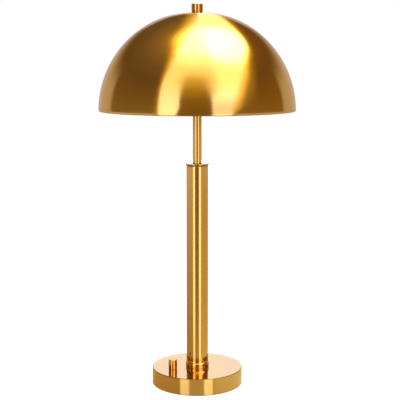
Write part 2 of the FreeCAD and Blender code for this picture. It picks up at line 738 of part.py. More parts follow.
def screw_shell():
    """Thin brass cup that takes the bulb's screw base."""
    bore = SCREW_BASE_RADIUS + EASE
    cup = ring(bore + SCREW_SHELL_WALL, bore, INSULATOR_TOP, INSULATOR_TOP + SCREW_SHELL_HEIGHT)
    floor = ring(bore, SCREW_SHELL_HOLE_RADIUS, INSULATOR_TOP, INSULATOR_TOP + SCREW_SHELL_WALL)
    return cup.fuse(floor).removeSplitter()


def centre_contact():
    return disc(CONTACT_RADIUS, INSULATOR_TOP, BULB_FOOT)


# ---------------------------------------------------------------- bulb


def bulb_glass():
    """Blown envelope, a globe that narrows to a straight neck."""
    foot = SCREW_BASE_TOP - GLASS_SEAT
    neck_top = SCREW_BASE_TOP + BULB_NECK_LENGTH
    centre = BULB_TOP - BULB_RADIUS
    outside = envelope(BULB_RADIUS, BULB_NECK_RADIUS, foot, neck_top, centre)
    inside = envelope(BULB_RADIUS - GLASS_WALL, BULB_NECK_RADIUS - GLASS_WALL, foot, neck_top, centre)
    return outside.cut(inside)


def envelope(radius, neck, foot, neck_top, centre):
    shoulder = on_circle(radius, -BULB_SHOULDER_ANGLE, centre)
    flare_middle = (
        neck + (shoulder[0] - neck) * 0.25,
        neck_top + (shoulder[1] - neck_top) * 0.55,
    )
    widest = on_circle(radius, (90 - BULB_SHOULDER_ANGLE) / 2, centre)
    return turned(
        (0, foot),
        (neck, foot),
        (neck, neck_top),
        (flare_middle, shoulder),
        (widest, (0, centre + radius)),
    )


def bulb_screw_base():
    """Thin plated cup over the neck of the glass."""
    bore = SCREW_BASE_RADIUS - SCREW_BASE_WALL
    cup = disc(SCREW_BASE_RADIUS, SCREW_BASE_FOOT, SCREW_BASE_TOP)
    cup = cup.cut(disc(bore, SCREW_BASE_FOOT + SCREW_BASE_WALL, SCREW_BASE_TOP))
    collar = ring(bore, BULB_NECK_RADIUS, SCREW_BASE_TOP - GLASS_SEAT, SCREW_BASE_TOP)
    return cup.fuse(collar).removeSplitter()


def bulb_insulator():
    """Dark glass cone between the screw base and the contact."""
    return Part.makeCone(
        BULB_CONTACT_RADIUS, SCREW_BASE_RADIUS - 2 * EASE, BULB_INSULATOR_HEIGHT,
        Vector(0, 0, BULB_FOOT + BULB_CONTACT_HEIGHT),
    )


def bulb_contact():
    return Part.makeCone(
        CONTACT_RADIUS, BULB_CONTACT_RADIUS, BULB_CONTACT_HEIGHT, Vector(0, 0, BULB_FOOT)
    )


# ---------------------------------------------------------------- shade and finial


def shade_dome():
    """Hemisphere spun from sheet, with a small flat at its crown and its rim curled inwards."""
    inner_radius = SHADE_RADIUS - SHADE_WALL
    crown_angle = math.degrees(math.acos(CROWN_FLAT_RADIUS / SHADE_RADIUS))
    inner_crown_angle = math.degrees(math.asin((CROWN_UNDERSIDE - SHADE_CENTRE) / inner_radius))
    wall_foot_angle = math.degrees(math.asin(HEM_RADIUS / SHADE_RADIUS))
    wall_foot = on_circle(SHADE_RADIUS, wall_foot_angle, SHADE_CENTRE)
    hem_centre = (wall_foot[0] - HEM_RADIUS, wall_foot[1])

    # Where the hem's round section runs into the inside of the wall
    hem_reach = math.hypot(hem_centre[0], HEM_RADIUS)
    apart = (hem_reach ** 2 + inner_radius ** 2 - HEM_RADIUS ** 2) / (2 * hem_reach * inner_radius)
    inner_foot_angle = math.degrees(math.atan2(HEM_RADIUS, hem_centre[0]) + math.acos(apart))
    inner_foot = on_circle(inner_radius, inner_foot_angle, SHADE_CENTRE)

    hem_start = math.atan2(inner_foot[1] - hem_centre[1], inner_foot[0] - hem_centre[0])
    hem_halfway = (hem_start + 2 * math.pi) / 2
    hem_middle = (
        hem_centre[0] + HEM_RADIUS * math.cos(hem_halfway),
        hem_centre[1] + HEM_RADIUS * math.sin(hem_halfway),
    )
    return turned(
        (SHADE_HOLE_RADIUS, CROWN_UNDERSIDE),
        on_circle(inner_radius, inner_crown_angle, SHADE_CENTRE),
        (on_circle(inner_radius, (inner_crown_angle + inner_foot_angle) / 2, SHADE_CENTRE), inner_foot),
        (hem_middle, wall_foot),
        (
            on_circle(SHADE_RADIUS, (crown_angle + wall_foot_angle) / 2, SHADE_CENTRE),
            on_circle(SHADE_RADIUS, crown_angle, SHADE_CENTRE),
        ),
        (SHADE_HOLE_RADIUS, CROWN_TOP),
    )


def upper_washer():
    return ring(UPPER_WASHER_RADIUS, SHADE_HOLE_RADIUS, CROWN_TOP, FINIAL_FOOT)


def lower_washer():
    return ring(LOWER_WASHER_RADIUS, STUD_RADIUS + SNUG, HARP_SEAT_TOP, CROWN_UNDERSIDE)


def finial():
    """Turned brass cap, tapped to screw down onto the harp's stud."""
    return turned(
        (STUD_RADIUS + RUNNING, FINIAL_FOOT),
        (FINIAL_RADIUS, FINIAL_FOOT),
        (FINIAL_RADIUS, FINIAL_TOP - FINIAL_EDGE),
        (FINIAL_RADIUS - FINIAL_EDGE, FINIAL_TOP),
        (0, FINIAL_TOP),
        (0, STUD_HOLE_ROOF),
        (STUD_RADIUS + RUNNING, STUD_HOLE_ROOF),
    )


# ---------------------------------------------------------------- leads


def lead_route(out_angle, end):
    """Edges of a lead from the insulator, down through the pipe and out under its foot."""
    angle = math.radians(out_angle)
    out = Vector(math.cos(angle), math.sin(angle), 0)
    foot = out * LEAD_SPREAD
    top_point = Vector(foot.x, foot.y, HOLDER_SHELL_FOOT)
    bend_top = Vector(foot.x, foot.y, LEAD_LEVEL + LEAD_BEND_RADIUS)
    bend_end = foot + out * LEAD_BEND_RADIUS + Vector(0, 0, LEAD_LEVEL)
    diagonal = math.sqrt(0.5)
    bend_middle = (
        foot
        + out * (LEAD_BEND_RADIUS * (1 - diagonal))
        + Vector(0, 0, LEAD_LEVEL + LEAD_BEND_RADIUS * (1 - diagonal))
    )
    level_end = out * end + Vector(0, 0, LEAD_LEVEL)
    return [
        Part.makeLine(top_point, bend_top),
        Part.Arc(bend_top, bend_middle, bend_end).toShape(),
        Part.makeLine(bend_end, level_end),
    ]


def switch_lead():
    """Lead between the dimmer and the lamp holder."""
    rise_start = KNOB_REACH - LEAD_BEND_RADIUS
    edges = lead_route(KNOB_ANGLE, rise_start)
    angle = math.radians(KNOB_ANGLE)
    out = Vector(math.cos(angle), math.sin(angle), 0)
    diagonal = math.sqrt(0.5)
    start = out * rise_start + Vector(0, 0, LEAD_LEVEL)
    middle = (
        out * (rise_start + LEAD_BEND_RADIUS * diagonal)
        + Vector(0, 0, LEAD_LEVEL + LEAD_BEND_RADIUS * (1 - diagonal))
    )
    end = out * KNOB_REACH + Vector(0, 0, LEAD_LEVEL + LEAD_BEND_RADIUS)
    edges.append(Part.Arc(start, middle, end).toShape())
    edges.append(Part.makeLine(end, Vector(end.x, end.y, DIMMER_FOOT)))
    return pipe_along(edges, LEAD_RADIUS)


def return_lead():
    """Lead from the lamp holder to the connector, where it meets the cord."""
    return pipe_along(lead_route(RETURN_LEAD_ANGLE, RETURN_LEAD_REACH), LEAD_RADIUS)


def wire_connector():
    """Tapered twist-on cap over the joined ends."""
    angle = math.radians(RETURN_LEAD_ANGLE)
    out = Vector(math.cos(angle), math.sin(angle), 0)
    mouth = out * (RETURN_LEAD_REACH - CONNECTOR_LAP) + Vector(0, 0, LEAD_LEVEL)
    cap = Part.makeCone(CONNECTOR_RADIUS, CONNECTOR_TIP_RADIUS, CONNECTOR_LENGTH, mouth, out)
    return cap.cut(return_lead())


PIECES = {
    "foot_pad": foot_pad,
    "bottom_plate": bottom_plate,
    "plate_screws": plate_screws,
    "base_weight": base_weight,
    "base_shell": base_shell,
    "cord_bush": cord_bush,
    "bush_nut": bush_nut,
    "dimmer_body": dimmer_body,
    "dimmer_washer": dimmer_washer,
    "dimmer_nut": dimmer_nut,
    "dimmer_shaft": dimmer_shaft,
    "dimmer_knob": dimmer_knob,
    "knob_set_screw": set_screw,
    "lock_washer": lock_washer,
    "pipe_nut": pipe_nut,
    "lamp_pipe": lamp_pipe,
    "column_collar": column_collar,
    "column_tube": column_tube,
    "column_cap": column_cap,
    "stem_tube": stem_tube,
    "neck_ring": neck_ring,
    "harp_saddle": harp_saddle,
    "harp_bow": harp_bow,
    "harp_seat": harp_seat,
    "socket_cap": socket_cap,
    "socket_shell": socket_shell,
    "socket_liner": socket_liner,
    "socket_insulator": socket_insulator,
    "terminal_screws": terminal_screws,
    "screw_shell": screw_shell,
    "centre_contact": centre_contact,
    "bulb_glass": bulb_glass,
    "bulb_screw_base": bulb_screw_base,
    "bulb_insulator": bulb_insulator,
    "bulb_contact": bulb_contact,
    "lower_washer": lower_washer,
    "shade_dome": shade_dome,
    "upper_washer": upper_washer,
    "finial": finial,
    "switch_lead": switch_lead,
    "return_lead": return_lead,
    "wire_connector": wire_connector,
}

os.makedirs("parts", exist_ok=True)
for name, make in PIECES.items():
    make().exportStep("parts/" + name + ".step")
for name, side in (("left_ferrule", -1), ("right_ferrule", 1)):
    ferrule(side).exportStep("parts/" + name + ".step")
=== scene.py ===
import math

import bmesh
import bpy
from mathutils import Matrix, Vector


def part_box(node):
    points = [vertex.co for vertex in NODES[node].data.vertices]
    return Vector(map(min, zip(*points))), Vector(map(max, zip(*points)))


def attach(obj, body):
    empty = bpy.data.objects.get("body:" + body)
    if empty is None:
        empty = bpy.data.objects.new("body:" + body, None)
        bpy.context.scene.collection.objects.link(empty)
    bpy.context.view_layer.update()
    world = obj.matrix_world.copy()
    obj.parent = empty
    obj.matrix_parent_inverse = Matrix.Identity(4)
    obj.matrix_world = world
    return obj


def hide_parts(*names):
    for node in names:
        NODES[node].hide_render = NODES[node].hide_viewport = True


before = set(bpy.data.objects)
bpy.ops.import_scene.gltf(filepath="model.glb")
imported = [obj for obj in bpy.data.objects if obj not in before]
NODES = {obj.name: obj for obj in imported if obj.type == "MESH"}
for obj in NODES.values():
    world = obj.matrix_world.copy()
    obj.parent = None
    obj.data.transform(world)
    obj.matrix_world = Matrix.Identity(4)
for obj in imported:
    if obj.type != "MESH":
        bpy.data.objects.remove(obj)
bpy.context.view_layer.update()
MM = 0.001


# ---- Base shell ------------------------------------------------------------------------------
# The round cover of the base, pressed from steel in one piece with its skirt, then brass plated
# and polished in the lathe, so its fine scratches run round it. Clear lacquer protects it.


def span(node):
    """Radius, foot and top of a turned piece."""
    low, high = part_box(node)
    return (high.x - low.x) / 2, low.z, high.z


def outline(*corners, steps=6):
    """The section of a turned piece. A corner is (radius, height) or (radius, height, rounding).
    Each rounding gets a point just outside its arc, which keeps the flats beside it flat."""
    points = []
    for index, corner in enumerate(corners):
        here = Vector(corner[:2])
        if len(corner) < 3:
            points.append(here)
            continue
        rounding = corner[2]
        before = Vector(corners[index - 1][:2]) - here
        after = Vector(corners[(index + 1) % len(corners)][:2]) - here
        half = before.angle(after) / 2
        reach = rounding / math.tan(half)
        inwards = (before.normalized() + after.normalized()).normalized()
        centre = here + inwards * rounding / math.sin(half)
        start = here + before.normalized() * reach - centre
        end = here + after.normalized() * reach - centre
        sweep = -start.angle_signed(end)
        if before.length > 3 * reach:
            points.append(here + before.normalized() * reach * 1.5)
        for step in range(steps + 1):
            turn = Matrix.Rotation(sweep * step / steps, 2)
            points.append(centre + turn @ start)
        if after.length > 3 * reach:
            points.append(here + after.normalized() * reach * 1.5)
    return points


def finish_mesh(bm, name, crease=0.5):
    """Makes a piece of a bmesh, smooth apart from the edges that turn by more than the crease."""
    bmesh.ops.remove_doubles(bm, verts=bm.verts, dist=1e-7)
    bmesh.ops.dissolve_degenerate(bm, dist=1e-8, edges=bm.edges)
    bmesh.ops.recalc_face_normals(bm, faces=bm.faces)
    for face in bm.faces:
        face.smooth = True
    for edge in bm.edges:
        edge.smooth = len(edge.link_faces) == 2 and edge.calc_face_angle() < crease
    mesh = bpy.data.meshes.new(name)
    bm.to_mesh(mesh)
    bm.free()
    piece = bpy.data.objects.new(name, mesh)
    bpy.context.scene.collection.objects.link(piece)
    return piece


def turned_mesh(points, steps=128):
    """A section turned about Z. It closes on itself unless it starts and ends on the axis."""
    bm = bmesh.new()
    verts = [bm.verts.new((point[0], 0, point[1])) for point in points]
    edges = [bm.edges.new(pair) for pair in zip(verts, verts[1:])]
    if points[0][0] > 0:
        edges.append(bm.edges.new((verts[-1], verts[0])))
    bmesh.ops.spin(
        bm, geom=verts + edges, cent=(0, 0, 0), axis=(0, 0, 1), angle=2 * math.pi,
        steps=steps, use_merge=True, use_duplicate=False,
    )
    return bm


def turned(name, points, steps=128):
    return finish_mesh(turned_mesh(points, steps), name)


def fit(piece, body, slot, *nodes):
    """The piece stands for the nodes and moves with their body. The slot is not used."""
    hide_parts(*nodes)
    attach(piece, body)


def dress(piece, *materials):
    if piece.data.materials:
        piece.data.materials.clear()
    for material in materials:
        piece.data.materials.append(material)


class Signal:
    """A socket of a shader that takes part in sums as a number does."""

    def __init__(self, shader, socket):
        self.shader = shader
        self.socket = socket

    def output(self, name):
        return Signal(self.shader, self.socket.node.outputs[name])

    def maths(self, operation, *others):
        values = dict(enumerate((self,) + others))
        return self.shader.node("ShaderNodeMath", {"operation": operation}, values)

    def __add__(self, other):
        return self.maths("ADD", other)

    def __radd__(self, other):
        return self.maths("ADD", other)

    def __sub__(self, other):
        return self.maths("SUBTRACT", other)

    def __rsub__(self, other):
        return self.shader.node("ShaderNodeMath", {"operation": "SUBTRACT"}, {0: other, 1: self})

    def __mul__(self, other):
        return self.maths("MULTIPLY", other)

    def __rmul__(self, other):
        return self.maths("MULTIPLY", other)

    def __truediv__(self, other):
        return self.maths("DIVIDE", other)

    def __rtruediv__(self, other):
        return self.shader.node("ShaderNodeMath", {"operation": "DIVIDE"}, {0: other, 1: self})

    def __pow__(self, other):
        return self.maths("POWER", other)


class Shader:
    """The nodes of a material or of the world."""

    def __init__(self, owner):
        owner.use_nodes = True
        self.tree = owner.node_tree
        self.tree.nodes.clear()

    def node(self, kind, settings=None, values=None):
        """A node with its settings and the values or links of its sockets, as its first output."""
        made = self.tree.nodes.new(kind)
        for name, value in (settings or {}).items():
            if name == "stops":
                self.set_stops(made.color_ramp, value)
            else:
                setattr(made, name, value)
        for key, value in (values or {}).items():
            if isinstance(value, Signal):
                self.tree.links.new(value.socket, made.inputs[key])
            else:
                made.inputs[key].default_value = value
        if made.outputs:
            return Signal(self, made.outputs[0])
        return None

    def set_stops(self, ramp, stops):
        while len(ramp.elements) < len(stops):
            ramp.elements.new(1)
        for element, (position, colour) in zip(ramp.elements, stops):
            element.position = position
            element.color = colour

    def blend(self, share, first, second):
        """A colour between two others."""
        settings = {"data_type": "RGBA", "clamp_factor": True}
        mixed = self.node("ShaderNodeMix", settings, {"Factor": share})
        for index, colour in ((6, first), (7, second)):
            socket = mixed.socket.node.inputs[index]
            if isinstance(colour, Signal):
                self.tree.links.new(colour.socket, socket)
            else:
                socket.default_value = colour
        return Signal(self, mixed.socket.node.outputs[2])

    def ramp(self, value, *stops, brightest=5.0):
        """A colour that runs through stops of a signal. It may be brighter than 1."""
        low, high = stops[0][0], stops[-1][0]
        dimmed = [
            ((place - low) / (high - low), tuple(part / brightest for part in colour) + (1,))
            for place, colour in stops
        ]
        share = (value - low) / (high - low)
        colour = self.node("ShaderNodeValToRGB", {"stops": dimmed}, {0: share})
        values = {0: colour, "Scale": brightest}
        return self.node("ShaderNodeVectorMath", {"operation": "SCALE"}, values)

    def step(self, value, low, high, low_value=0.0, high_value=1.0):
        """A soft step from one value to another as the signal passes from low to high."""
        settings = {"interpolation_type": "SMOOTHSTEP"}
        ends = {
            "Value": value, "From Min": low, "From Max": high,
            "To Min": low_value, "To Max": high_value,
        }
        return self.node("ShaderNodeMapRange", settings, ends)

    def object_place(self):
        """Where a point of the lamp is, in metres."""
        return self.node("ShaderNodeTexCoord").output("Object")

    def noise(self, place, scale, detail, distortion=0.0):
        values = {"Vector": place, "Scale": scale, "Detail": detail, "Distortion": distortion}
        return self.node("ShaderNodeTexNoise", None, values)


def surface(name, settings):
    """A new material, its shader's nodes and the constants of its surface."""
    material = bpy.data.materials.new(name)
    shader = Shader(material)
    principled = shader.node("ShaderNodeBsdfPrincipled", None, settings)
    shader.node("ShaderNodeOutputMaterial", None, {"Surface": principled})
    shader.surface = principled.socket.node
    return material, shader


def drive(shader, socket, signal):
    shader.tree.links.new(signal.socket, shader.surface.inputs[socket])


def relief(shader, height, strength, depth):
    """Raises the surface by a signal, where 1 is as high as the depth."""
    values = {"Height": height, "Strength": strength, "Distance": depth}
    drive(shader, "Normal", shader.node("ShaderNodeBump", None, values))


def lathe_grain(shader, centre, pitch, streak):
    """Noise in fine lines round a vertical axis. Its lines are about a pitch apart, and one line
    keeps its look for a turn divided by the streak."""
    place = shader.object_place()
    place = shader.node("ShaderNodeMapping", None, {"Vector": place, "Location": -Vector(centre)})
    parts = shader.node("ShaderNodeSeparateXYZ", None, {0: place})
    x, y, z = (parts.output(axis) for axis in "XYZ")
    radius = (x * x + y * y + 1e-9) ** 0.5
    shader.radius, shader.height = radius, z
    across = (z - radius) / pitch
    round_x = x / radius * streak
    round_y = y / radius * streak
    lines = shader.node("ShaderNodeCombineXYZ", None, {0: round_x, 1: round_y, 2: across})
    return shader.noise(lines, 1.0, 3.0), place


BRASS = (0.80, 0.47, 0.125, 1)
BRASS_DEEP = (0.76, 0.43, 0.105, 1)
BRASS_EDGE = (0.93, 0.80, 0.62, 1)


def lathe_brass(name, centre=(0, 0, 0), pitch=0.5 * MM, roughness=0.12, stretch=0.3, lacquer=0.4):
    """Satin brass with its scratches running round the piece, under clear lacquer."""
    material, shader = surface(name, {
        "Metallic": 1.0, "Anisotropic": stretch, "Anisotropic Rotation": 0.25,
        "Coat Weight": lacquer, "Coat Roughness": 0.06, "Coat IOR": 1.5,
        "Specular Tint": BRASS_EDGE,
    })
    grain, place = lathe_grain(shader, centre, pitch, 6.0)
    bands, _ = lathe_grain(shader, centre, 14 * pitch, 1.2)
    cloud = shader.noise(place, 22.0, 2.0)
    smudge = shader.noise(place, 75.0, 4.0)
    tone = 0.45 * grain + 0.3 * bands + 0.25 * cloud
    drive(shader, "Base Color", shader.blend(shader.step(tone, 0.3, 0.7), BRASS_DEEP, BRASS))
    handled = shader.step(smudge, 0.56, 0.72, 0.0, 0.035)
    drive(shader, "Roughness", (grain - 0.5) * 0.06 + (bands - 0.5) * 0.04 + handled + roughness)
    relief(shader, grain, 0.5, 0.002 * MM)
    return material, shader


base_radius, skirt_foot, base_top = span("base_shell")
base_brass, shader = lathe_brass("base_brass", lacquer=0.8)
# Painted reflection: a dark band is painted into the base colour along the rounded top edge, in
# place of the dark reflection that edge shows
PAINTED_EDGE_REFLECTION = (0.24, 0.12, 0.025, 1)
polished = shader.surface.inputs["Base Color"].links[0].from_socket
edge = shader.step(shader.height, base_top - 1.3 * MM, base_top - 0.8 * MM)
edge = edge * shader.step(shader.radius, base_radius - 1.1 * MM, base_radius - 0.6 * MM)
drive(shader, "Base Color", shader.blend(edge, Signal(shader, polished), PAINTED_EDGE_REFLECTION))
BASE_ROUNDING = 0.5 * MM
SKIRT_ROUNDING = 0.4 * MM
PRESSED_WALL = 1.6 * MM
TOP_WALL = 2.5 * MM
pipe_radius = span("lamp_pipe")[0]
base_ceiling = base_top - TOP_WALL
skirt_bore = base_radius - PRESSED_WALL
base_shell = turned("base_cover", outline(
    (pipe_radius, base_ceiling),
    (pipe_radius, base_top),
    (base_radius, base_top, BASE_ROUNDING),
    (base_radius, skirt_foot, SKIRT_ROUNDING),
    (skirt_bore, skirt_foot, SKIRT_ROUNDING),
    (skirt_bore, base_ceiling, PRESSED_WALL),
), steps=192)


def pierce(piece, radius, depth, place, direction):
    """Bores a round hole through a piece."""
    bm = bmesh.new()
    bmesh.ops.create_cone(
        bm, cap_ends=True, segments=48, radius1=radius, radius2=radius, depth=depth,
    )
    turn = Vector((0, 0, 1)).rotation_difference(Vector(direction)).to_matrix().to_4x4()
    bmesh.ops.transform(bm, matrix=Matrix.Translation(place) @ turn, verts=bm.verts)
    drill = finish_mesh(bm, "drill")
    bore = piece.modifiers.new("bore", "BOOLEAN")
    bore.object = drill
    bore.solver = "EXACT"
    evaluated = piece.evaluated_get(bpy.context.evaluated_depsgraph_get())
    piece.data = bpy.data.meshes.new_from_object(evaluated)
    piece.modifiers.clear()
    bpy.data.objects.remove(drill)


bush_low, bush_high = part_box("cord_bush")
inlet = Vector((0, base_radius, (bush_low.z + bush_high.z) / 2))
BUSH_SLEEVE = 4.5 * MM
DRILL_DEPTH = 20 * MM
pierce(base_shell, BUSH_SLEEVE, DRILL_DEPTH, inlet, (0, 1, 0))
dress(base_shell, base_brass)
fit(base_shell, "stand", "brushed_brass", "base_shell")


# ---- Foot pad and bottom plate ---------------------------------------------------------------
# A disc of dark pressed felt, glued under the zinc-plated plate that closes the base. The felt
# is compressed and a little frayed at its cut edge.

FELT = (0.030, 0.026, 0.022, 1)
FELT_LIGHT = (0.085, 0.075, 0.062, 1)
felt, shader = surface("felt", {"Roughness": 0.96, "Sheen Weight": 0.35, "Sheen Roughness": 0.5})
place = shader.object_place()
fibres = shader.noise(place, 900.0, 6.0, distortion=1.5)
flecks = shader.noise(place, 160.0, 2.0)
flecked = shader.step(0.6 * fibres + 0.4 * flecks, 0.4, 0.7)
drive(shader, "Base Color", shader.blend(flecked, FELT, FELT_LIGHT))
relief(shader, fibres, 0.7, 0.2 * MM)
pad_radius, pad_foot, pad_top = span("foot_pad")
FELT_ROUNDING = 0.5 * MM
foot_pad = turned("felt_pad", outline(
    (0, pad_foot),
    (pad_radius, pad_foot, FELT_ROUNDING),
    (pad_radius, pad_top),
    (0, pad_top),
), steps=160)
dress(foot_pad, felt)
fit(foot_pad, "stand", "felt", "foot_pad")

ZINC = (0.52, 0.53, 0.54, 1)
ZINC_DULL = (0.36, 0.37, 0.38, 1)
zinc, shader = surface("zinc_plate", {"Metallic": 1.0})
place = shader.object_place()
spangle = shader.node("ShaderNodeTexVoronoi", None, {"Vector": place, "Scale": 300.0})
cloud = shader.noise(place, 60.0, 4.0)
mottle = 0.5 * spangle + 0.5 * cloud
drive(shader, "Base Color", shader.blend(shader.step(mottle, 0.2, 0.6), ZINC_DULL, ZINC))
drive(shader, "Roughness", 0.28 + 0.2 * cloud)
relief(shader, mottle, 0.2, 0.02 * MM)
for node in (
    "bottom_plate", "plate_screws", "lock_washer", "pipe_nut", "lamp_pipe", "lower_washer",
):
    dress(NODES[node], zinc)

IRON = (0.035, 0.035, 0.037, 1)
IRON_WORN = (0.09, 0.085, 0.08, 1)
iron, shader = surface("painted_iron", {"Roughness": 0.62})
place = shader.object_place()
sand = shader.noise(place, 420.0, 5.0)
drive(shader, "Base Color", shader.blend(shader.step(sand, 0.45, 0.75), IRON, IRON_WORN))
relief(shader, sand, 0.6, 0.15 * MM)
dress(NODES["base_weight"], iron)


# ---- Cord bush -------------------------------------------------------------------------------
# A moulded black bush that lines the cord's hole in the skirt, held by a nut from inside.

NYLON = (0.018, 0.018, 0.019, 1)
NYLON_PALE = (0.035, 0.035, 0.037, 1)
nylon, shader = surface("black_nylon", {"Specular IOR Level": 0.45})
place = shader.object_place()
skin = shader.noise(place, 1400.0, 3.0)
drive(shader, "Base Color", shader.blend(skin, NYLON, NYLON_PALE))
drive(shader, "Roughness", 0.34 + 0.16 * skin)
relief(shader, skin, 0.3, 0.03 * MM)
BUSH_BORE = 3.2 * MM
BUSH_ROUNDING = 0.7 * MM
flange_radius = (bush_high.x - bush_low.x) / 2
bush_out = bush_high.y
bush_in = bush_low.y
section = outline(
    (BUSH_BORE, bush_out, BUSH_ROUNDING),
    (flange_radius, bush_out, BUSH_ROUNDING),
    (flange_radius, base_radius),
    (BUSH_SLEEVE, base_radius),
    (BUSH_SLEEVE, bush_in),
    (BUSH_BORE, bush_in),
)
bm = turned_mesh(section, steps=64)
lie_back = Matrix.Translation((0, 0, inlet.z)) @ Matrix.Rotation(-math.pi / 2, 4, "X")
bmesh.ops.transform(bm, matrix=lie_back, verts=bm.verts)
cord_bush = finish_mesh(bm, "inlet_bush")
dress(cord_bush, nylon)
fit(cord_bush, "stand", "black_plastic", "cord_bush")
for node in ("bush_nut", "dimmer_body", "socket_insulator", "bulb_insulator"):
    dress(NODES[node], nylon)


# ---- Dimmer knob -----------------------------------------------------------------------------
# A small plain knob turned from brass bar, hollow below to clear the dimmer's nut, and held on
# the shaft by a grub screw at its back.

knob_low, knob_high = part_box("dimmer_knob")
knob_centre = Vector(((knob_low.x + knob_high.x) / 2, (knob_low.y + knob_high.y) / 2, 0))
knob_radius = (knob_high.x - knob_low.x) / 2
KNOB_ROUNDING = 0.5 * MM
KNOB_FOOT_ROUNDING = 0.25 * MM
KNOB_HOLLOW_RADIUS = 5.5 * MM
KNOB_HOLLOW_DEPTH = 4.0 * MM
knob_brass, _ = lathe_brass("knob_brass", centre=knob_centre, pitch=0.25 * MM)
bm = turned_mesh(outline(
    (0, knob_high.z),
    (knob_radius, knob_high.z, KNOB_ROUNDING),
    (knob_radius, knob_low.z, KNOB_FOOT_ROUNDING),
    (KNOB_HOLLOW_RADIUS, knob_low.z),
    (KNOB_HOLLOW_RADIUS, knob_low.z + KNOB_HOLLOW_DEPTH),
    (0, knob_low.z + KNOB_HOLLOW_DEPTH),
), steps=96)
bmesh.ops.translate(bm, vec=knob_centre, verts=bm.verts)
knob = finish_mesh(bm, "turned_knob")
dress(knob, knob_brass)
fit(knob, "knob", "turned_brass", "dimmer_knob")
for node in ("dimmer_shaft", "dimmer_washer", "dimmer_nut", "knob_set_screw"):
    dress(NODES[node], zinc)


# ---- Column ----------------------------------------------------------------------------------
# A drawn brass tube between two turned ends: a collar with a rounded bead on the base, and a cap
# that flares out to a thin lip.

column_brass, _ = lathe_brass("column_brass")
column_radius, column_foot, column_top = span("column_tube")
BEAD_HEIGHT = 9.2 * MM
BEAD_INSET = 1.5 * MM
GROOVE_DEPTH = 0.7 * MM
LIP_THICKNESS = 1.7 * MM
END_ROUNDING = 0.35 * MM
TUBE_ROUNDING = 0.12 * MM


def bow(start, middle, end, steps=10):
    """Points after the start on the arc that passes through three points."""
    a, b, c = Vector(start), Vector(middle), Vector(end)
    ab, ac = b - a, c - a
    twice_area = 2 * ab.cross(ac)
    towards = Vector((ac.y * ab.dot(ab) - ab.y * ac.dot(ac), ab.x * ac.dot(ac) - ac.x * ab.dot(ab)))
    centre = a + towards / twice_area
    first, last = a - centre, c - centre
    sweep = -first.angle_signed(last)
    half = -first.angle_signed(b - centre)
    if half * sweep < 0 or abs(half) > abs(sweep):
        sweep -= math.copysign(2 * math.pi, sweep)
    return [
        centre + Matrix.Rotation(sweep * step / steps, 2) @ first for step in range(1, steps + 1)
    ]


def hollow(start, end):
    """Points of a quarter-round hollow that leaves the start level and reaches the end upright."""
    steps = 8
    angles = [math.pi / 2 * step / steps for step in range(1, steps + 1)]
    return [
        Vector((
            end[0] + (start[0] - end[0]) * (1 - math.sin(angle)),
            start[1] + (end[1] - start[1]) * (1 - math.cos(angle)),
        ))
        for angle in angles
    ]


column_tube = turned("drawn_column", outline(
    (column_radius - PRESSED_WALL, column_foot),
    (column_radius - PRESSED_WALL, column_top),
    (column_radius, column_top, TUBE_ROUNDING),
    (column_radius, column_foot, TUBE_ROUNDING),
), steps=128)
dress(column_tube, column_brass)
fit(column_tube, "stand", "drawn_brass", "column_tube")

bead_radius = span("column_collar")[0]
bead_foot = bead_radius - BEAD_INSET
bead_top = base_top + BEAD_HEIGHT
BEAD_UNDERCUT = 0.8 * MM
BEAD_SHOULDER = 5.4 * MM
BEAD_BULGE = 0.5 * MM
flare_foot = (bead_radius - GROOVE_DEPTH, bead_top)
collar_section = [Vector((pipe_radius, base_top)), Vector((bead_foot, base_top))]
collar_section += outline(
    (bead_foot, base_top + BEAD_UNDERCUT),
    (bead_radius, base_top + BEAD_UNDERCUT, END_ROUNDING),
    (bead_radius, base_top + BEAD_SHOULDER),
)
collar_section += bow(
    (bead_radius, base_top + BEAD_SHOULDER),
    (bead_radius - 0.35 * BEAD_INSET, (base_top + BEAD_SHOULDER + bead_top) / 2 + BEAD_BULGE),
    (bead_foot, bead_top),
    12,
)
collar_section.append(Vector(flare_foot))
collar_section += hollow(flare_foot, (column_radius, column_foot))
collar_section.append(Vector((pipe_radius, column_foot)))
column_collar = turned("beaded_collar", collar_section)
dress(column_collar, column_brass)
fit(column_collar, "stand", "turned_brass", "column_collar")

lip_radius, _, cap_top = span("column_cap")
lip_foot = cap_top - LIP_THICKNESS
flare_head = (lip_radius - GROOVE_DEPTH / 2, lip_foot)
cap_section = [Vector((pipe_radius, column_top))]
cap_section.append(Vector((column_radius, column_top)))
cap_section += hollow(flare_head, (column_radius, column_top))[-2::-1]
cap_section.append(Vector(flare_head))
cap_section += outline(
    (lip_radius, lip_foot, END_ROUNDING),
    (lip_radius, cap_top, END_ROUNDING),
    (pipe_radius, cap_top),
    (pipe_radius, lip_foot),
)[:-1]
column_cap = turned("flared_cap", cap_section)
dress(column_cap, column_brass)
fit(column_cap, "stand", "turned_brass", "column_cap")


# ---- Stem ------------------------------------------------------------------------------------
# A slim brass tube over the lamp pipe, clamped between the column's cap and a threaded ring.

stem_radius, stem_foot, stem_top = span("stem_tube")
STEM_WALL = 1.4 * MM
STEM_ROUNDING = 0.2 * MM
stem = turned("slim_stem", outline(
    (stem_radius - STEM_WALL, stem_foot),
    (stem_radius - STEM_WALL, stem_top),
    (stem_radius, stem_top, STEM_ROUNDING),
    (stem_radius, stem_foot, STEM_ROUNDING),
), steps=96)
dress(stem, column_brass)
fit(stem, "stand", "drawn_brass", "stem_tube")

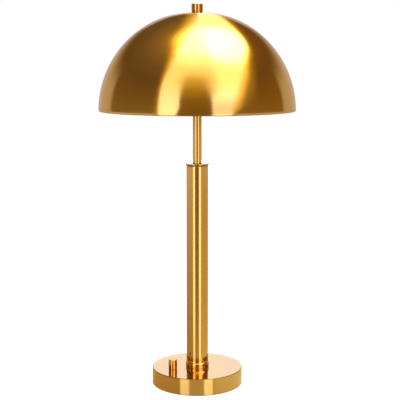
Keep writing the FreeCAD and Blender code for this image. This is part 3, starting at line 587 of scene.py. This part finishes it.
ring_radius, ring_foot, ring_top = span("neck_ring")
RING_ROUNDING = 0.8 * MM
neck_ring = turned("clamping_ring", outline(
    (pipe_radius, ring_foot),
    (ring_radius, ring_foot, RING_ROUNDING),
    (ring_radius, ring_top, RING_ROUNDING),
    (pipe_radius, ring_top),
), steps=96)
dress(neck_ring, column_brass)
fit(neck_ring, "stand", "turned_brass", "neck_ring")


# ---- Shade -----------------------------------------------------------------------------------
# A hemisphere spun from thin brass sheet over a former, with a small flat at its crown and its
# rim curled inwards. The outside is satin brass under lacquer, the inside is sprayed white.

shade_brass, _ = lathe_brass("shade_brass", pitch=0.6 * MM)
ENAMEL = (0.80, 0.79, 0.76, 1)
ENAMEL_WARM = (0.74, 0.72, 0.67, 1)
enamel, shader = surface("white_enamel", {"Coat Weight": 0.15, "Coat Roughness": 0.2})
place = shader.object_place()
peel = shader.noise(place, 480.0, 2.0)
cloud = shader.noise(place, 14.0, 3.0)
drive(shader, "Base Color", shader.blend(shader.step(cloud, 0.35, 0.7), ENAMEL, ENAMEL_WARM))
drive(shader, "Roughness", 0.38 + 0.12 * peel)
relief(shader, peel, 0.25, 0.05 * MM)

shade_radius, shade_foot, shade_top = span("shade_dome")
HEM_RADIUS = 1.2 * MM
SHEET = 0.9 * MM
CROWN_FLAT = 10.4 * MM
CROWN_HOLE = 3.7 * MM
shade_inner = shade_radius - SHEET


def round_the_axis(radius, angle):
    return Vector((radius * math.cos(angle), shade_foot + radius * math.sin(angle)))


# The hem's round section starts where it meets the inside of the wall and ends at the wall's foot
rim_angle = math.asin(HEM_RADIUS / shade_radius)
hem_centre = round_the_axis(shade_radius, rim_angle) - Vector((HEM_RADIUS, 0))
hem_reach = math.hypot(hem_centre.x, HEM_RADIUS)
squares = hem_reach ** 2 + shade_inner ** 2 - HEM_RADIUS ** 2
apart = math.acos(squares / (2 * hem_reach * shade_inner))
inner_rim_angle = math.atan2(HEM_RADIUS, hem_centre.x) + apart
meeting = round_the_axis(shade_inner, inner_rim_angle) - hem_centre
hem_start = math.atan2(meeting.y, meeting.x)
hem_sweep = 2 * math.pi - hem_start
HEM_STEPS = 20
hem = [
    hem_centre + HEM_RADIUS * Vector((math.cos(angle), math.sin(angle)))
    for angle in (hem_start + hem_sweep * step / HEM_STEPS for step in range(1, HEM_STEPS))
]
crown_angle = math.acos(CROWN_FLAT / shade_radius)
inner_crown_angle = math.asin((shade_top - SHEET - shade_foot) / shade_inner)
RINGS = 72
inner_sweep = inner_rim_angle - inner_crown_angle
section = [Vector((CROWN_HOLE, shade_top - SHEET))]
section += [
    round_the_axis(shade_inner, inner_crown_angle + inner_sweep * step / RINGS)
    for step in range(RINGS + 1)
]
section += hem
section += [
    round_the_axis(shade_radius, rim_angle + (crown_angle - rim_angle) * step / RINGS)
    for step in range(RINGS + 1)
]
section.append(Vector((CROWN_HOLE, shade_top)))
bm = turned_mesh(section, steps=192)
middle_of_sheet = (shade_radius + shade_inner) / 2
for face in bm.faces:
    place = face.calc_center_median() - Vector((0, 0, shade_foot))
    inside = place.length < middle_of_sheet and place.z > 2 * HEM_RADIUS
    face.material_index = 1 if inside else 0
shade = finish_mesh(bm, "spun_shade")
dress(shade, shade_brass, enamel)
fit(shade, "shade", "spun_brass", "shade_dome")


# ---- Finial and washers ----------------------------------------------------------------------
# The finial is a plain turned cap that screws down on the harp's stud, over a thin brass washer.

finial_radius, finial_foot, finial_top = span("finial")
FINIAL_ROUNDING = 0.5 * MM
FINIAL_FOOT_ROUNDING = 0.3 * MM
FINIAL_HOLE_RADIUS = 3.2 * MM
FINIAL_HOLE_DEPTH = 1 * MM
finial_brass, _ = lathe_brass("finial_brass", pitch=0.25 * MM)
finial = turned("turned_finial", outline(
    (0, finial_foot + FINIAL_HOLE_DEPTH),
    (FINIAL_HOLE_RADIUS, finial_foot + FINIAL_HOLE_DEPTH),
    (FINIAL_HOLE_RADIUS, finial_foot),
    (finial_radius, finial_foot, FINIAL_FOOT_ROUNDING),
    (finial_radius, finial_top, FINIAL_ROUNDING),
    (0, finial_top),
), steps=96)
dress(finial, finial_brass)
fit(finial, "finial", "turned_brass", "finial")

washer_radius, washer_foot, washer_top = span("upper_washer")
WASHER_ROUNDING = 0.25 * MM
upper_washer = turned("crown_washer", outline(
    (CROWN_HOLE, washer_foot),
    (washer_radius, washer_foot, WASHER_ROUNDING),
    (washer_radius, washer_top, WASHER_ROUNDING),
    (CROWN_HOLE, washer_top),
), steps=96)
dress(upper_washer, finial_brass)
fit(upper_washer, "shade", "turned_brass", "upper_washer")


# ---- Harp ------------------------------------------------------------------------------------
# The bow of brass wire that carries the shade over the bulb. Its feet stand on two tongues of a
# folded strap, a sleeve locks each foot, and a turned hub on its top holds the finial's stud.

harp_brass, _ = lathe_brass("harp_brass", pitch=0.3 * MM, roughness=0.24, lacquer=0.2)
WIRE_RADIUS = 1.6 * MM
LEG_SPREAD = 27.0 * MM
LEG_LENGTH = 22.0 * MM
BOW_REACH = 50.0 * MM
LOWER_BEND = 25.0 * MM
MIDDLE_BEND = 45.0 * MM
CORNER_BEND = 40.0 * MM
BEND = math.radians(35)
CORNER = math.radians(90)
bow_low, bow_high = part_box("harp_bow")
bent_out = (LOWER_BEND + MIDDLE_BEND) * (1 - math.cos(BEND))
slope = (BOW_REACH - LEG_SPREAD - bent_out) / math.sin(BEND)
risen = LEG_LENGTH + (LOWER_BEND + MIDDLE_BEND) * math.sin(BEND) + slope * math.cos(BEND)
side = bow_high.z - WIRE_RADIUS - CORNER_BEND - bow_low.z - risen
bends = (
    (LEG_LENGTH, LOWER_BEND, -BEND), (slope, MIDDLE_BEND, BEND), (side, CORNER_BEND, CORNER),
    (2 * (BOW_REACH - CORNER_BEND), CORNER_BEND, CORNER),
    (side, MIDDLE_BEND, BEND), (slope, LOWER_BEND, -BEND), (LEG_LENGTH, 0, 0),
)
BEND_STEPS = 14
place = Vector((LEG_SPREAD, bow_low.z))
heading = Vector((0, 1))
path = [place]
for length, radius, angle in bends:
    place = place + heading * length
    path.append(place)
    if radius:
        inwards = Matrix.Rotation(math.copysign(math.pi / 2, angle), 2) @ heading
        centre = place + inwards * radius
        arm = place - centre
        path += [
            centre + Matrix.Rotation(angle * step / BEND_STEPS, 2) @ arm
            for step in range(1, BEND_STEPS + 1)
        ]
        place = path[-1]
        heading = Matrix.Rotation(angle, 2) @ heading
line = bpy.data.curves.new("wire_line", "CURVE")
line.dimensions = "3D"
line.bevel_depth = WIRE_RADIUS
line.bevel_resolution = 6
line.use_fill_caps = True
spline = line.splines.new("POLY")
spline.points.add(len(path) - 1)
for point, (x, z) in zip(spline.points, path):
    point.co = (x, 0, z, 1)
drawn = bpy.data.objects.new("wire_line", line)
bpy.context.scene.collection.objects.link(drawn)
evaluated = drawn.evaluated_get(bpy.context.evaluated_depsgraph_get())
harp_wire = bpy.data.objects.new("harp_wire", bpy.data.meshes.new_from_object(evaluated))
bpy.context.scene.collection.objects.link(harp_wire)
bpy.data.objects.remove(drawn)
bpy.data.curves.remove(line)
dress(harp_wire, harp_brass)
fit(harp_wire, "stand", "drawn_brass", "harp_bow")

hub_radius, hub_foot, stud_top = span("harp_seat")
HUB_HEIGHT = 7.0 * MM
HUB_ROUNDING = 0.6 * MM
STUD_RADIUS = 3.15 * MM
THREAD_PITCH = 0.9 * MM
THREAD_DEPTH = 0.4 * MM
PLAIN_SHANK = 0.6 * MM
TIP_CHAMFER = 0.5 * MM
hub_top = hub_foot + HUB_HEIGHT
section = [Vector((0, hub_foot))]
section += outline(
    (hub_radius, hub_foot, HUB_ROUNDING),
    (hub_radius, hub_top, HUB_ROUNDING),
    (STUD_RADIUS, hub_top),
    (0, hub_top),
)[:-1]
ridge = hub_top + PLAIN_SHANK
while ridge + THREAD_PITCH < stud_top:
    section += [
        Vector((STUD_RADIUS - depth, ridge + rise * THREAD_PITCH))
        for rise, depth in ((0, THREAD_DEPTH), (0.35, 0), (0.5, 0), (0.85, THREAD_DEPTH))
    ]
    ridge += THREAD_PITCH
section += [Vector((STUD_RADIUS - TIP_CHAMFER, stud_top)), Vector((0, stud_top))]
harp_hub = turned("harp_hub", section, steps=64)
dress(harp_hub, harp_brass)
fit(harp_hub, "stand", "turned_brass", "harp_seat")
for node in ("harp_saddle", "left_ferrule", "right_ferrule"):
    dress(NODES[node], harp_brass)


# ---- Lamp holder -----------------------------------------------------------------------------
# A spun brass shell and bell-shaped cap round a moulded body with a screw shell, a sprung contact
# and two terminal screws. A fibre sleeve keeps the live parts off the brass.

holder_brass, _ = lathe_brass("holder_brass", pitch=0.3 * MM, roughness=0.26, lacquer=0.1)
cap_radius, cap_foot, cap_rim = span("socket_cap")
holder_radius, holder_foot, holder_top = span("socket_shell")
HOLDER_WALL = 0.6 * MM
CAP_WALL = 0.8 * MM
CAP_NECK_RADIUS = 7.6 * MM
CAP_NECK_HEIGHT = 3.5 * MM
CAP_ROUNDING = 0.35 * MM
BULGE = math.sqrt(0.5)
neck_top = cap_foot + CAP_NECK_HEIGHT
inner_rim = cap_radius - CAP_WALL
inner_foot = neck_top + CAP_WALL


def mid_shoulder(narrow, wide, foot):
    """The middle of the bell's round shoulder."""
    return (narrow + (wide - narrow) * BULGE, holder_foot - (holder_foot - foot) * BULGE)


section = [
    Vector((pipe_radius, cap_foot)),
    Vector((CAP_NECK_RADIUS, cap_foot)),
    Vector((CAP_NECK_RADIUS, neck_top)),
]
section += bow(
    (CAP_NECK_RADIUS, neck_top),
    mid_shoulder(CAP_NECK_RADIUS, cap_radius, neck_top),
    (cap_radius, holder_foot),
    16,
)
section += outline(
    (cap_radius, holder_foot),
    (cap_radius, cap_rim, CAP_ROUNDING),
    (inner_rim, cap_rim),
)[1:]
section.append(Vector((inner_rim, holder_foot)))
section += bow(
    (inner_rim, holder_foot),
    mid_shoulder(pipe_radius, inner_rim, inner_foot),
    (pipe_radius, inner_foot),
    16,
)
holder_cap = turned("holder_cap", section, steps=96)
dress(holder_cap, holder_brass)
fit(holder_cap, "stand", "spun_brass", "socket_cap")

HOLDER_RIM_ROUNDING = 0.25 * MM
HOLDER_GROOVE = 0.3 * MM
GROOVE_HEIGHTS = (11.0 * MM, 15.0 * MM)
# Height over the middle of a groove and the share of its depth there
GROOVE_FORM = ((-1.2 * MM, 0), (-0.6 * MM, 0.3), (0, 1), (0.6 * MM, 0.3), (1.2 * MM, 0))
shell_bore = holder_radius - HOLDER_WALL
section = [Vector((shell_bore, holder_foot)), Vector((holder_radius, holder_foot))]
for groove in GROOVE_HEIGHTS:
    section += [
        Vector((holder_radius - HOLDER_GROOVE * share, holder_foot + groove + rise))
        for rise, share in GROOVE_FORM
    ]
section += outline(
    (holder_radius, holder_foot),
    (holder_radius, holder_top, HOLDER_RIM_ROUNDING),
    (shell_bore, holder_top, HOLDER_RIM_ROUNDING),
    (shell_bore, holder_foot),
)[1:-1]
holder_shell = turned("holder_shell", section, steps=96)
dress(holder_shell, holder_brass)
fit(holder_shell, "stand", "spun_brass", "socket_shell")
for node in ("screw_shell", "terminal_screws", "centre_contact"):
    dress(NODES[node], holder_brass)

FIBRE = (0.30, 0.24, 0.17, 1)
FIBRE_DARK = (0.20, 0.155, 0.11, 1)
fibre, shader = surface("vulcanised_fibre", {"Roughness": 0.7})
place = shader.object_place()
pulp = shader.noise(place, 700.0, 5.0, distortion=1.0)
drive(shader, "Base Color", shader.blend(shader.step(pulp, 0.35, 0.7), FIBRE, FIBRE_DARK))
relief(shader, pulp, 0.4, 0.05 * MM)
dress(NODES["socket_liner"], fibre)


# ---- Bulb ------------------------------------------------------------------------------------
# A globe of blown glass, opal inside, cemented into a plated base with a rolled thread. A glass
# button at its foot carries the centre contact.

OPAL = (0.86, 0.845, 0.80, 1)
OPAL_WARM = (0.80, 0.775, 0.71, 1)
opal, shader = surface("opal_glass", {
    "Coat Weight": 0.6, "Coat Roughness": 0.03, "Specular IOR Level": 0.5,
})
place = shader.object_place()
cloud = shader.noise(place, 45.0, 4.0)
powder = shader.noise(place, 900.0, 2.0)
drive(shader, "Base Color", shader.blend(shader.step(cloud, 0.35, 0.7), OPAL, OPAL_WARM))
drive(shader, "Roughness", 0.30 + 0.12 * powder)
relief(shader, cloud, 0.15, 0.1 * MM)
globe_radius, glass_foot, glass_top = span("bulb_glass")
base_screw_radius, thread_foot, thread_top = span("bulb_screw_base")
GLASS_WALL = 0.8 * MM
GLASS_NECK_RADIUS = 12.2 * MM
GLASS_NECK_LENGTH = 10.0 * MM
SHOULDER_ANGLE = math.radians(52)
FLARE_OUT = 0.25
FLARE_UP = 0.55
GLOBE_RINGS = 36
globe_centre = glass_top - globe_radius
glass_neck_top = thread_top + GLASS_NECK_LENGTH


def envelope(radius, neck):
    """The section of the glass from its foot up to its crown."""
    shoulder = Vector((
        radius * math.cos(SHOULDER_ANGLE), globe_centre - radius * math.sin(SHOULDER_ANGLE),
    ))
    flare = (
        neck + (shoulder.x - neck) * FLARE_OUT,
        glass_neck_top + (shoulder.y - glass_neck_top) * FLARE_UP,
    )
    sweep = math.pi / 2 + SHOULDER_ANGLE
    points = [Vector((neck, glass_foot)), Vector((neck, glass_neck_top))]
    points += bow((neck, glass_neck_top), flare, shoulder, 10)
    points += [
        Vector((radius * math.cos(angle), globe_centre + radius * math.sin(angle)))
        for angle in (
            sweep * step / GLOBE_RINGS - SHOULDER_ANGLE for step in range(1, GLOBE_RINGS + 1)
        )
    ]
    points[-1].x = 0
    return points


section = envelope(globe_radius - GLASS_WALL, GLASS_NECK_RADIUS - GLASS_WALL)[::-1]
section += envelope(globe_radius, GLASS_NECK_RADIUS)
globe = turned("opal_globe", section, steps=96)
dress(globe, opal)
fit(globe, "bulb", "opal_glass", "bulb_glass")

NICKEL = (0.66, 0.64, 0.60, 1)
NICKEL_DULL = (0.50, 0.48, 0.45, 1)
nickel, shader = surface("nickel_plate", {"Metallic": 1.0})
grain, place = lathe_grain(shader, (0, 0, 0), 0.3 * MM, 6.0)
cloud = shader.noise(place, 120.0, 4.0)
dulled = shader.step(0.5 * grain + 0.5 * cloud, 0.35, 0.7)
drive(shader, "Base Color", shader.blend(dulled, NICKEL, NICKEL_DULL))
drive(shader, "Roughness", 0.22 + 0.14 * cloud)
relief(shader, grain, 0.3, 0.01 * MM)
SCREW_PITCH = 3.6 * MM
SCREW_DEPTH = 1.0 * MM
PLAIN_ENDS = 2.2 * MM
CUP_WALL = 0.3 * MM
THREAD_RINGS = 60
ring_gap = (thread_top - thread_foot) / THREAD_RINGS
section = [Vector((0, thread_foot))]
section += [
    Vector((base_screw_radius, thread_foot + step * ring_gap)) for step in range(THREAD_RINGS + 1)
]
section += [
    Vector((GLASS_NECK_RADIUS, thread_top)),
    Vector((GLASS_NECK_RADIUS, thread_foot + CUP_WALL)),
    Vector((0, thread_foot + CUP_WALL)),
]
bm = turned_mesh(section, steps=72)
for vert in bm.verts:
    radius = math.hypot(vert.co.x, vert.co.y)
    if radius > base_screw_radius - 1e-6:
        from_end = min(vert.co.z - thread_foot, thread_top - vert.co.z)
        depth = SCREW_DEPTH * min(1, max(0, from_end / PLAIN_ENDS - 0.5))
        turn = math.atan2(vert.co.y, vert.co.x) - 2 * math.pi * vert.co.z / SCREW_PITCH
        radius -= depth * (0.5 - 0.5 * math.cos(turn))
        vert.co.xy = vert.co.xy.normalized() * radius
screw_base = finish_mesh(bm, "threaded_base", crease=0.8)
dress(screw_base, nickel)
fit(screw_base, "bulb", "bulb_metal", "bulb_screw_base")
dress(NODES["bulb_contact"], zinc)


# ---- Leads -----------------------------------------------------------------------------------
# Two flexible leads run up the pipe, one by way of the dimmer. A crimped cap joins the other to
# the conductor that comes in at the bush.

for name, node, colour, worn in (
    ("black_pvc", "switch_lead", (0.012, 0.012, 0.012, 1), (0.03, 0.03, 0.03, 1)),
    ("white_pvc", "return_lead", (0.72, 0.71, 0.67, 1), (0.60, 0.585, 0.54, 1)),
    ("amber_cap", "wire_connector", (0.75, 0.35, 0.08, 1), (0.62, 0.28, 0.07, 1)),
):
    pvc, shader = surface(name, {"Specular IOR Level": 0.4})
    place = shader.object_place()
    bloom = shader.noise(place, 500.0, 4.0)
    drive(shader, "Base Color", shader.blend(shader.step(bloom, 0.4, 0.7), colour, worn))
    drive(shader, "Roughness", 0.36 + 0.14 * bloom)
    relief(shader, bloom, 0.2, 0.03 * MM)
    dress(NODES[node], pvc)


# ---- Studio ----------------------------------------------------------------------------------
# A pale floor inside a tent of white cloth with three dim gaps: a narrow one at the camera and a
# wide one at each side, whose far end shows the pale backdrop. Their bearings and heights, in
# degrees, and the colours are set to give the brass the photograph's reflections.

FLOOR_RADIUS = 4.0
bm = bmesh.new()
bmesh.ops.create_circle(bm, cap_ends=True, segments=96, radius=FLOOR_RADIUS)
floor = finish_mesh(bm, "floor")
floor_paint = bpy.data.materials.new("floor_paint")
shader = Shader(floor_paint)
rays = shader.node("ShaderNodeLightPath")
seen = rays.output("Is Camera Ray")
mirrored = rays.output("Is Glossy Ray").maths("MAXIMUM", rays.output("Is Transmission Ray"))
FLOOR_GLOW = 0.78
# Rays off a mirror pass through all but this share of the floor, to the world below the horizon
FLOOR_MIRRORED = 0.08
matt = shader.node("ShaderNodeBsdfDiffuse", None, {"Color": (0.8, 0.8, 0.8, 1)})
glow_values = {"Color": (1, 1, 1, 1), "Strength": seen * FLOOR_GLOW}
glow = shader.node("ShaderNodeEmission", None, glow_values)
lit = shader.node("ShaderNodeAddShader", None, {0: matt, 1: glow})
clear = shader.node("ShaderNodeBsdfTransparent")
open_share = mirrored * (1 - FLOOR_MIRRORED)
surface_mix = shader.node("ShaderNodeMixShader", None, {0: open_share, 1: lit, 2: clear})
shader.node("ShaderNodeOutputMaterial", None, {"Surface": surface_mix})
floor.data.materials.append(floor_paint)

world = bpy.data.worlds.new("studio")
bpy.context.scene.world = world
shader = Shader(world)
direction = shader.node("ShaderNodeTexCoord").output("Generated")
parts = shader.node("ShaderNodeSeparateXYZ", None, {0: direction})
x, y, z = (parts.output(axis) for axis in "XYZ")
# The camera is at bearing 0, and 180 is straight behind the lamp
bearing = x.maths("ARCTAN2", 0 - y) * (180 / math.pi)
height = z.maths("ARCSINE") * (180 / math.pi)
level = height.maths("MAXIMUM", 0.0)
turned_away = bearing.maths("ABSOLUTE")
WHITE = (1, 1, 1, 1)

# The cloth is brightest overhead and to the right
colour = shader.ramp(
    height,
    (-24, (0.40, 0.32, 0.15)), (-18, (1.65, 1.65, 1.6)), (-14, (1.9, 1.9, 1.9)),
    (0, (2.1, 2.1, 2.5)), (18, (1.85, 1.85, 2.2)), (30, (1.65, 1.65, 1.3)),
    (50, (1.65, 1.65, 1.2)), (62, (2.2, 2.2, 2.0)), (75, (4.4, 4.4, 4.4)), (90, (4.4, 4.4, 4.4)),
)
CORE_BEARING, CORE_HEIGHT = 97.0, 64.0
CORE_WIDTH, CORE_DEPTH = 72.0, 21.0
aside = (bearing - CORE_BEARING) / CORE_WIDTH
upwards = (height - CORE_HEIGHT) / CORE_DEPTH
core = shader.step(aside ** 2 + upwards ** 2, 0.15, 1.2, 3.0, 0.0)
core = shader.node("ShaderNodeCombineXYZ", None, {0: core, 1: core, 2: core})
colour = shader.node("ShaderNodeVectorMath", {"operation": "ADD"}, {0: colour, 1: core})
low_left = shader.step(bearing, -10.0, 10.0, 1.0, 0.0)
low_left = low_left * shader.step(height, -17.5, -14.5, 0.17, 0.0)
brighter_right = shader.step(bearing, 12.0, 38.0, 0.0, 0.28) * shader.step(height, 8.0, 24.0)
dim_right = shader.step(bearing, 10.0, 15.0, 0.0, 0.30) * shader.step(height, -5.5, -2.5)
dim_right = dim_right * shader.step(height, 5.0, 18.0, 1.0, 0.0)
share = (1 - low_left) * (1 + brighter_right) * (1 - dim_right)
colour = shader.node("ShaderNodeVectorMath", {"operation": "SCALE"}, {0: colour, "Scale": share})
back = shader.step(bearing, -179.0, -158.0, 1.0, 0.0) * shader.step(height, 32.0, 52.0, 1.0, 0.0)
thin_cloth = shader.blend(back, WHITE, (0.52, 0.42, 0.18, 1))
colour = shader.node("ShaderNodeVectorMath", {"operation": "MULTIPLY"}, {0: colour, 1: thin_cloth})

# The gap at the camera, which fades out upwards
left_side = shader.step(height, -4.0, 8.0, -24.0, -20.5)
left_side = left_side + shader.step(height, -17.0, -10.0, 3.2, 0.0)
right_side = shader.step(height, -4.0, 8.0, 17.5, 17.0)
blur = shader.step(height, 12.0, 40.0, 1.5, 11.0)
right_blur = blur + shader.step(height, 10.0, 26.0, 0.0, 4.0)
front_gap = shader.step((bearing - left_side) / blur, -1.0, 1.0)
front_gap = front_gap * shader.step((bearing - right_side) / right_blur, -1.0, 1.2, 1.0, 0.0)
front_gap = front_gap * shader.step(height, 36.0, 56.0, 1.0, 0.0)
seen_through = shader.ramp(
    height,
    (-24, (0.16, 0.12, 0.04)), (-18, (0.68, 0.58, 0.32)), (-15, (0.31, 0.22, 0.07)),
    (-7, (0.20, 0.135, 0.03)), (14, (0.28, 0.19, 0.045)), (25, (0.50, 0.36, 0.05)),
    (35, (0.85, 0.64, 0.14)), (50, (1.2, 1.25, 0.6)),
)
colour = shader.blend(front_gap, colour, seen_through)


def arch(across, tall, power):
    """Distance from the middle of a gap's foot, which is 1 at the gap's rounded edge."""
    return (across.maths("ABSOLUTE") ** power + (level / tall) ** power) ** (1 / power)


def hemmed(colour, edge):
    """Cloth that is amber where it thins out: the edge is 0 at the gap and 1 further out."""
    thinning = shader.ramp(
        edge,
        (0, (0.24, 0.17, 0.04)), (0.35, (0.52, 0.40, 0.10)), (0.65, (0.75, 0.66, 0.33)),
        (1, (1, 1, 1)),
        brightest=1.0,
    )
    return shader.node("ShaderNodeVectorMath", {"operation": "MULTIPLY"}, {0: colour, 1: thinning})


# The gap on the left, softer along its top
LEFT_BEARING, LEFT_REACH, LEFT_HEIGHT, LEFT_SQUARENESS = -111.0, 66.5, 70.0, 3.6
left_gap = arch((bearing - LEFT_BEARING) / LEFT_REACH, LEFT_HEIGHT, LEFT_SQUARENESS)
colour = hemmed(colour, (left_gap - 0.975) / shader.step(height, 25.0, 66.0, 0.045, 0.20))
seen_through = shader.ramp(
    height,
    (-24, (0.16, 0.11, 0.04)), (-18, (0.56, 0.41, 0.14)), (-15, (0.43, 0.33, 0.20)),
    (-8, (0.58, 0.53, 0.47)), (-4.2, (0.80, 0.82, 0.85)), (-2.8, (0.26, 0.19, 0.07)),
    (18, (0.19, 0.13, 0.05)), (30, (0.155, 0.105, 0.05)), (45, (0.19, 0.135, 0.075)),
    (58, (0.29, 0.21, 0.09)), (68, (0.45, 0.32, 0.1)),
)
colour = shader.blend(shader.step(left_gap, 0.91, 1.0, 1.0, 0.0), colour, seen_through)

# The gap on the right, which is lower and has a softer edge towards the camera
softer = shader.step(bearing, 70.0, 118.0, 1.0, 0.0)
reach = shader.step(bearing, 100.0, 135.0, 68.5, 57.0) + shader.step(height, -4.0, 8.0, 8.5, 0.0)
RIGHT_BEARING, RIGHT_HEIGHT = 118.0, 47.5
right_gap = arch((bearing - RIGHT_BEARING) / reach, RIGHT_HEIGHT, 3.0 - 1.1 * softer)
width = (0.07 + 0.17 * softer) * shader.step(height, -3.0, 6.0, 0.2, 1.0)
colour = hemmed(colour, (right_gap - 1.0) / width + 0.35)
seen_through = shader.ramp(
    height,
    (-24, (0.17, 0.11, 0.04)), (-18, (0.84, 0.79, 0.50)), (-15, (0.66, 0.50, 0.25)),
    (-8, (0.62, 0.45, 0.23)), (-4.2, (0.70, 0.70, 0.73)), (-2.8, (0.29, 0.18, 0.055)),
    (12, (0.24, 0.147, 0.038)), (30, (0.18, 0.10, 0.04)), (45, (0.25, 0.14, 0.04)),
)
open_share = shader.step((right_gap - 1.0) / width, -1.5, 0.2, 1.0, 0.0)
colour = shader.blend(open_share, colour, seen_through)

# The pale backdrop behind the lamp
seen_through = shader.ramp(
    turned_away,
    (110, (0.52, 0.49, 0.45)), (150, (0.64, 0.60, 0.57)), (172, (0.60, 0.57, 0.57)),
    (176.5, (1.18, 1.31, 1.70)),
)
backdrop = shader.step(turned_away, 113.0, 122.0) * shader.step(height, 8.0, 28.0, 1.0, 0.0)
behind = shader.step(turned_away, 160.0, 168.0) * shader.step(height, 23.0, 29.0, 1.0, 0.0)
backdrop = backdrop.maths("MAXIMUM", behind) * shader.step(height, -12.0, 0.0, 0.0, 1.0)
colour = shader.blend(backdrop, colour, seen_through)

# The camera sees plain white. Mirrors see the studio at full strength, matt surfaces at half
rays = shader.node("ShaderNodeLightPath")
DIFFUSE_LEVEL = 0.5
mirrored = rays.output("Is Glossy Ray").maths("MAXIMUM", rays.output("Is Transmission Ray"))
strength = mirrored * (1 - DIFFUSE_LEVEL) + DIFFUSE_LEVEL
around = shader.node("ShaderNodeBackground", None, {"Color": colour, "Strength": strength})
plain = shader.node("ShaderNodeBackground", None, {"Color": WHITE, "Strength": 1.0})
seen = rays.output("Is Camera Ray")
mixed = shader.node("ShaderNodeMixShader", None, {0: seen, 1: around, 2: plain})
shader.node("ShaderNodeOutputWorld", None, {"Surface": mixed})
world.cycles.sampling_method = "MANUAL"
world.cycles.sample_map_resolution = 1024


# ---- Camera ----------------------------------------------------------------------------------
# Level with the middle of the shade, tilted down so that the base's top shows.

CAMERA_PLACE = (0.0048, -1.73114, 0.57137)
CAMERA_TILT = math.radians(8)
CAMERA_LENS = 90.24
camera_data = bpy.data.cameras.new("camera")
camera_data.lens = CAMERA_LENS
camera_data.sensor_width = 36.0
camera = bpy.data.objects.new("camera", camera_data)
camera.location = CAMERA_PLACE
camera.rotation_euler = (math.pi / 2 - CAMERA_TILT, 0, 0)
bpy.context.scene.collection.objects.link(camera)
bpy.context.scene.camera = camera
bpy.context.scene.view_settings.view_transform = "Standard"
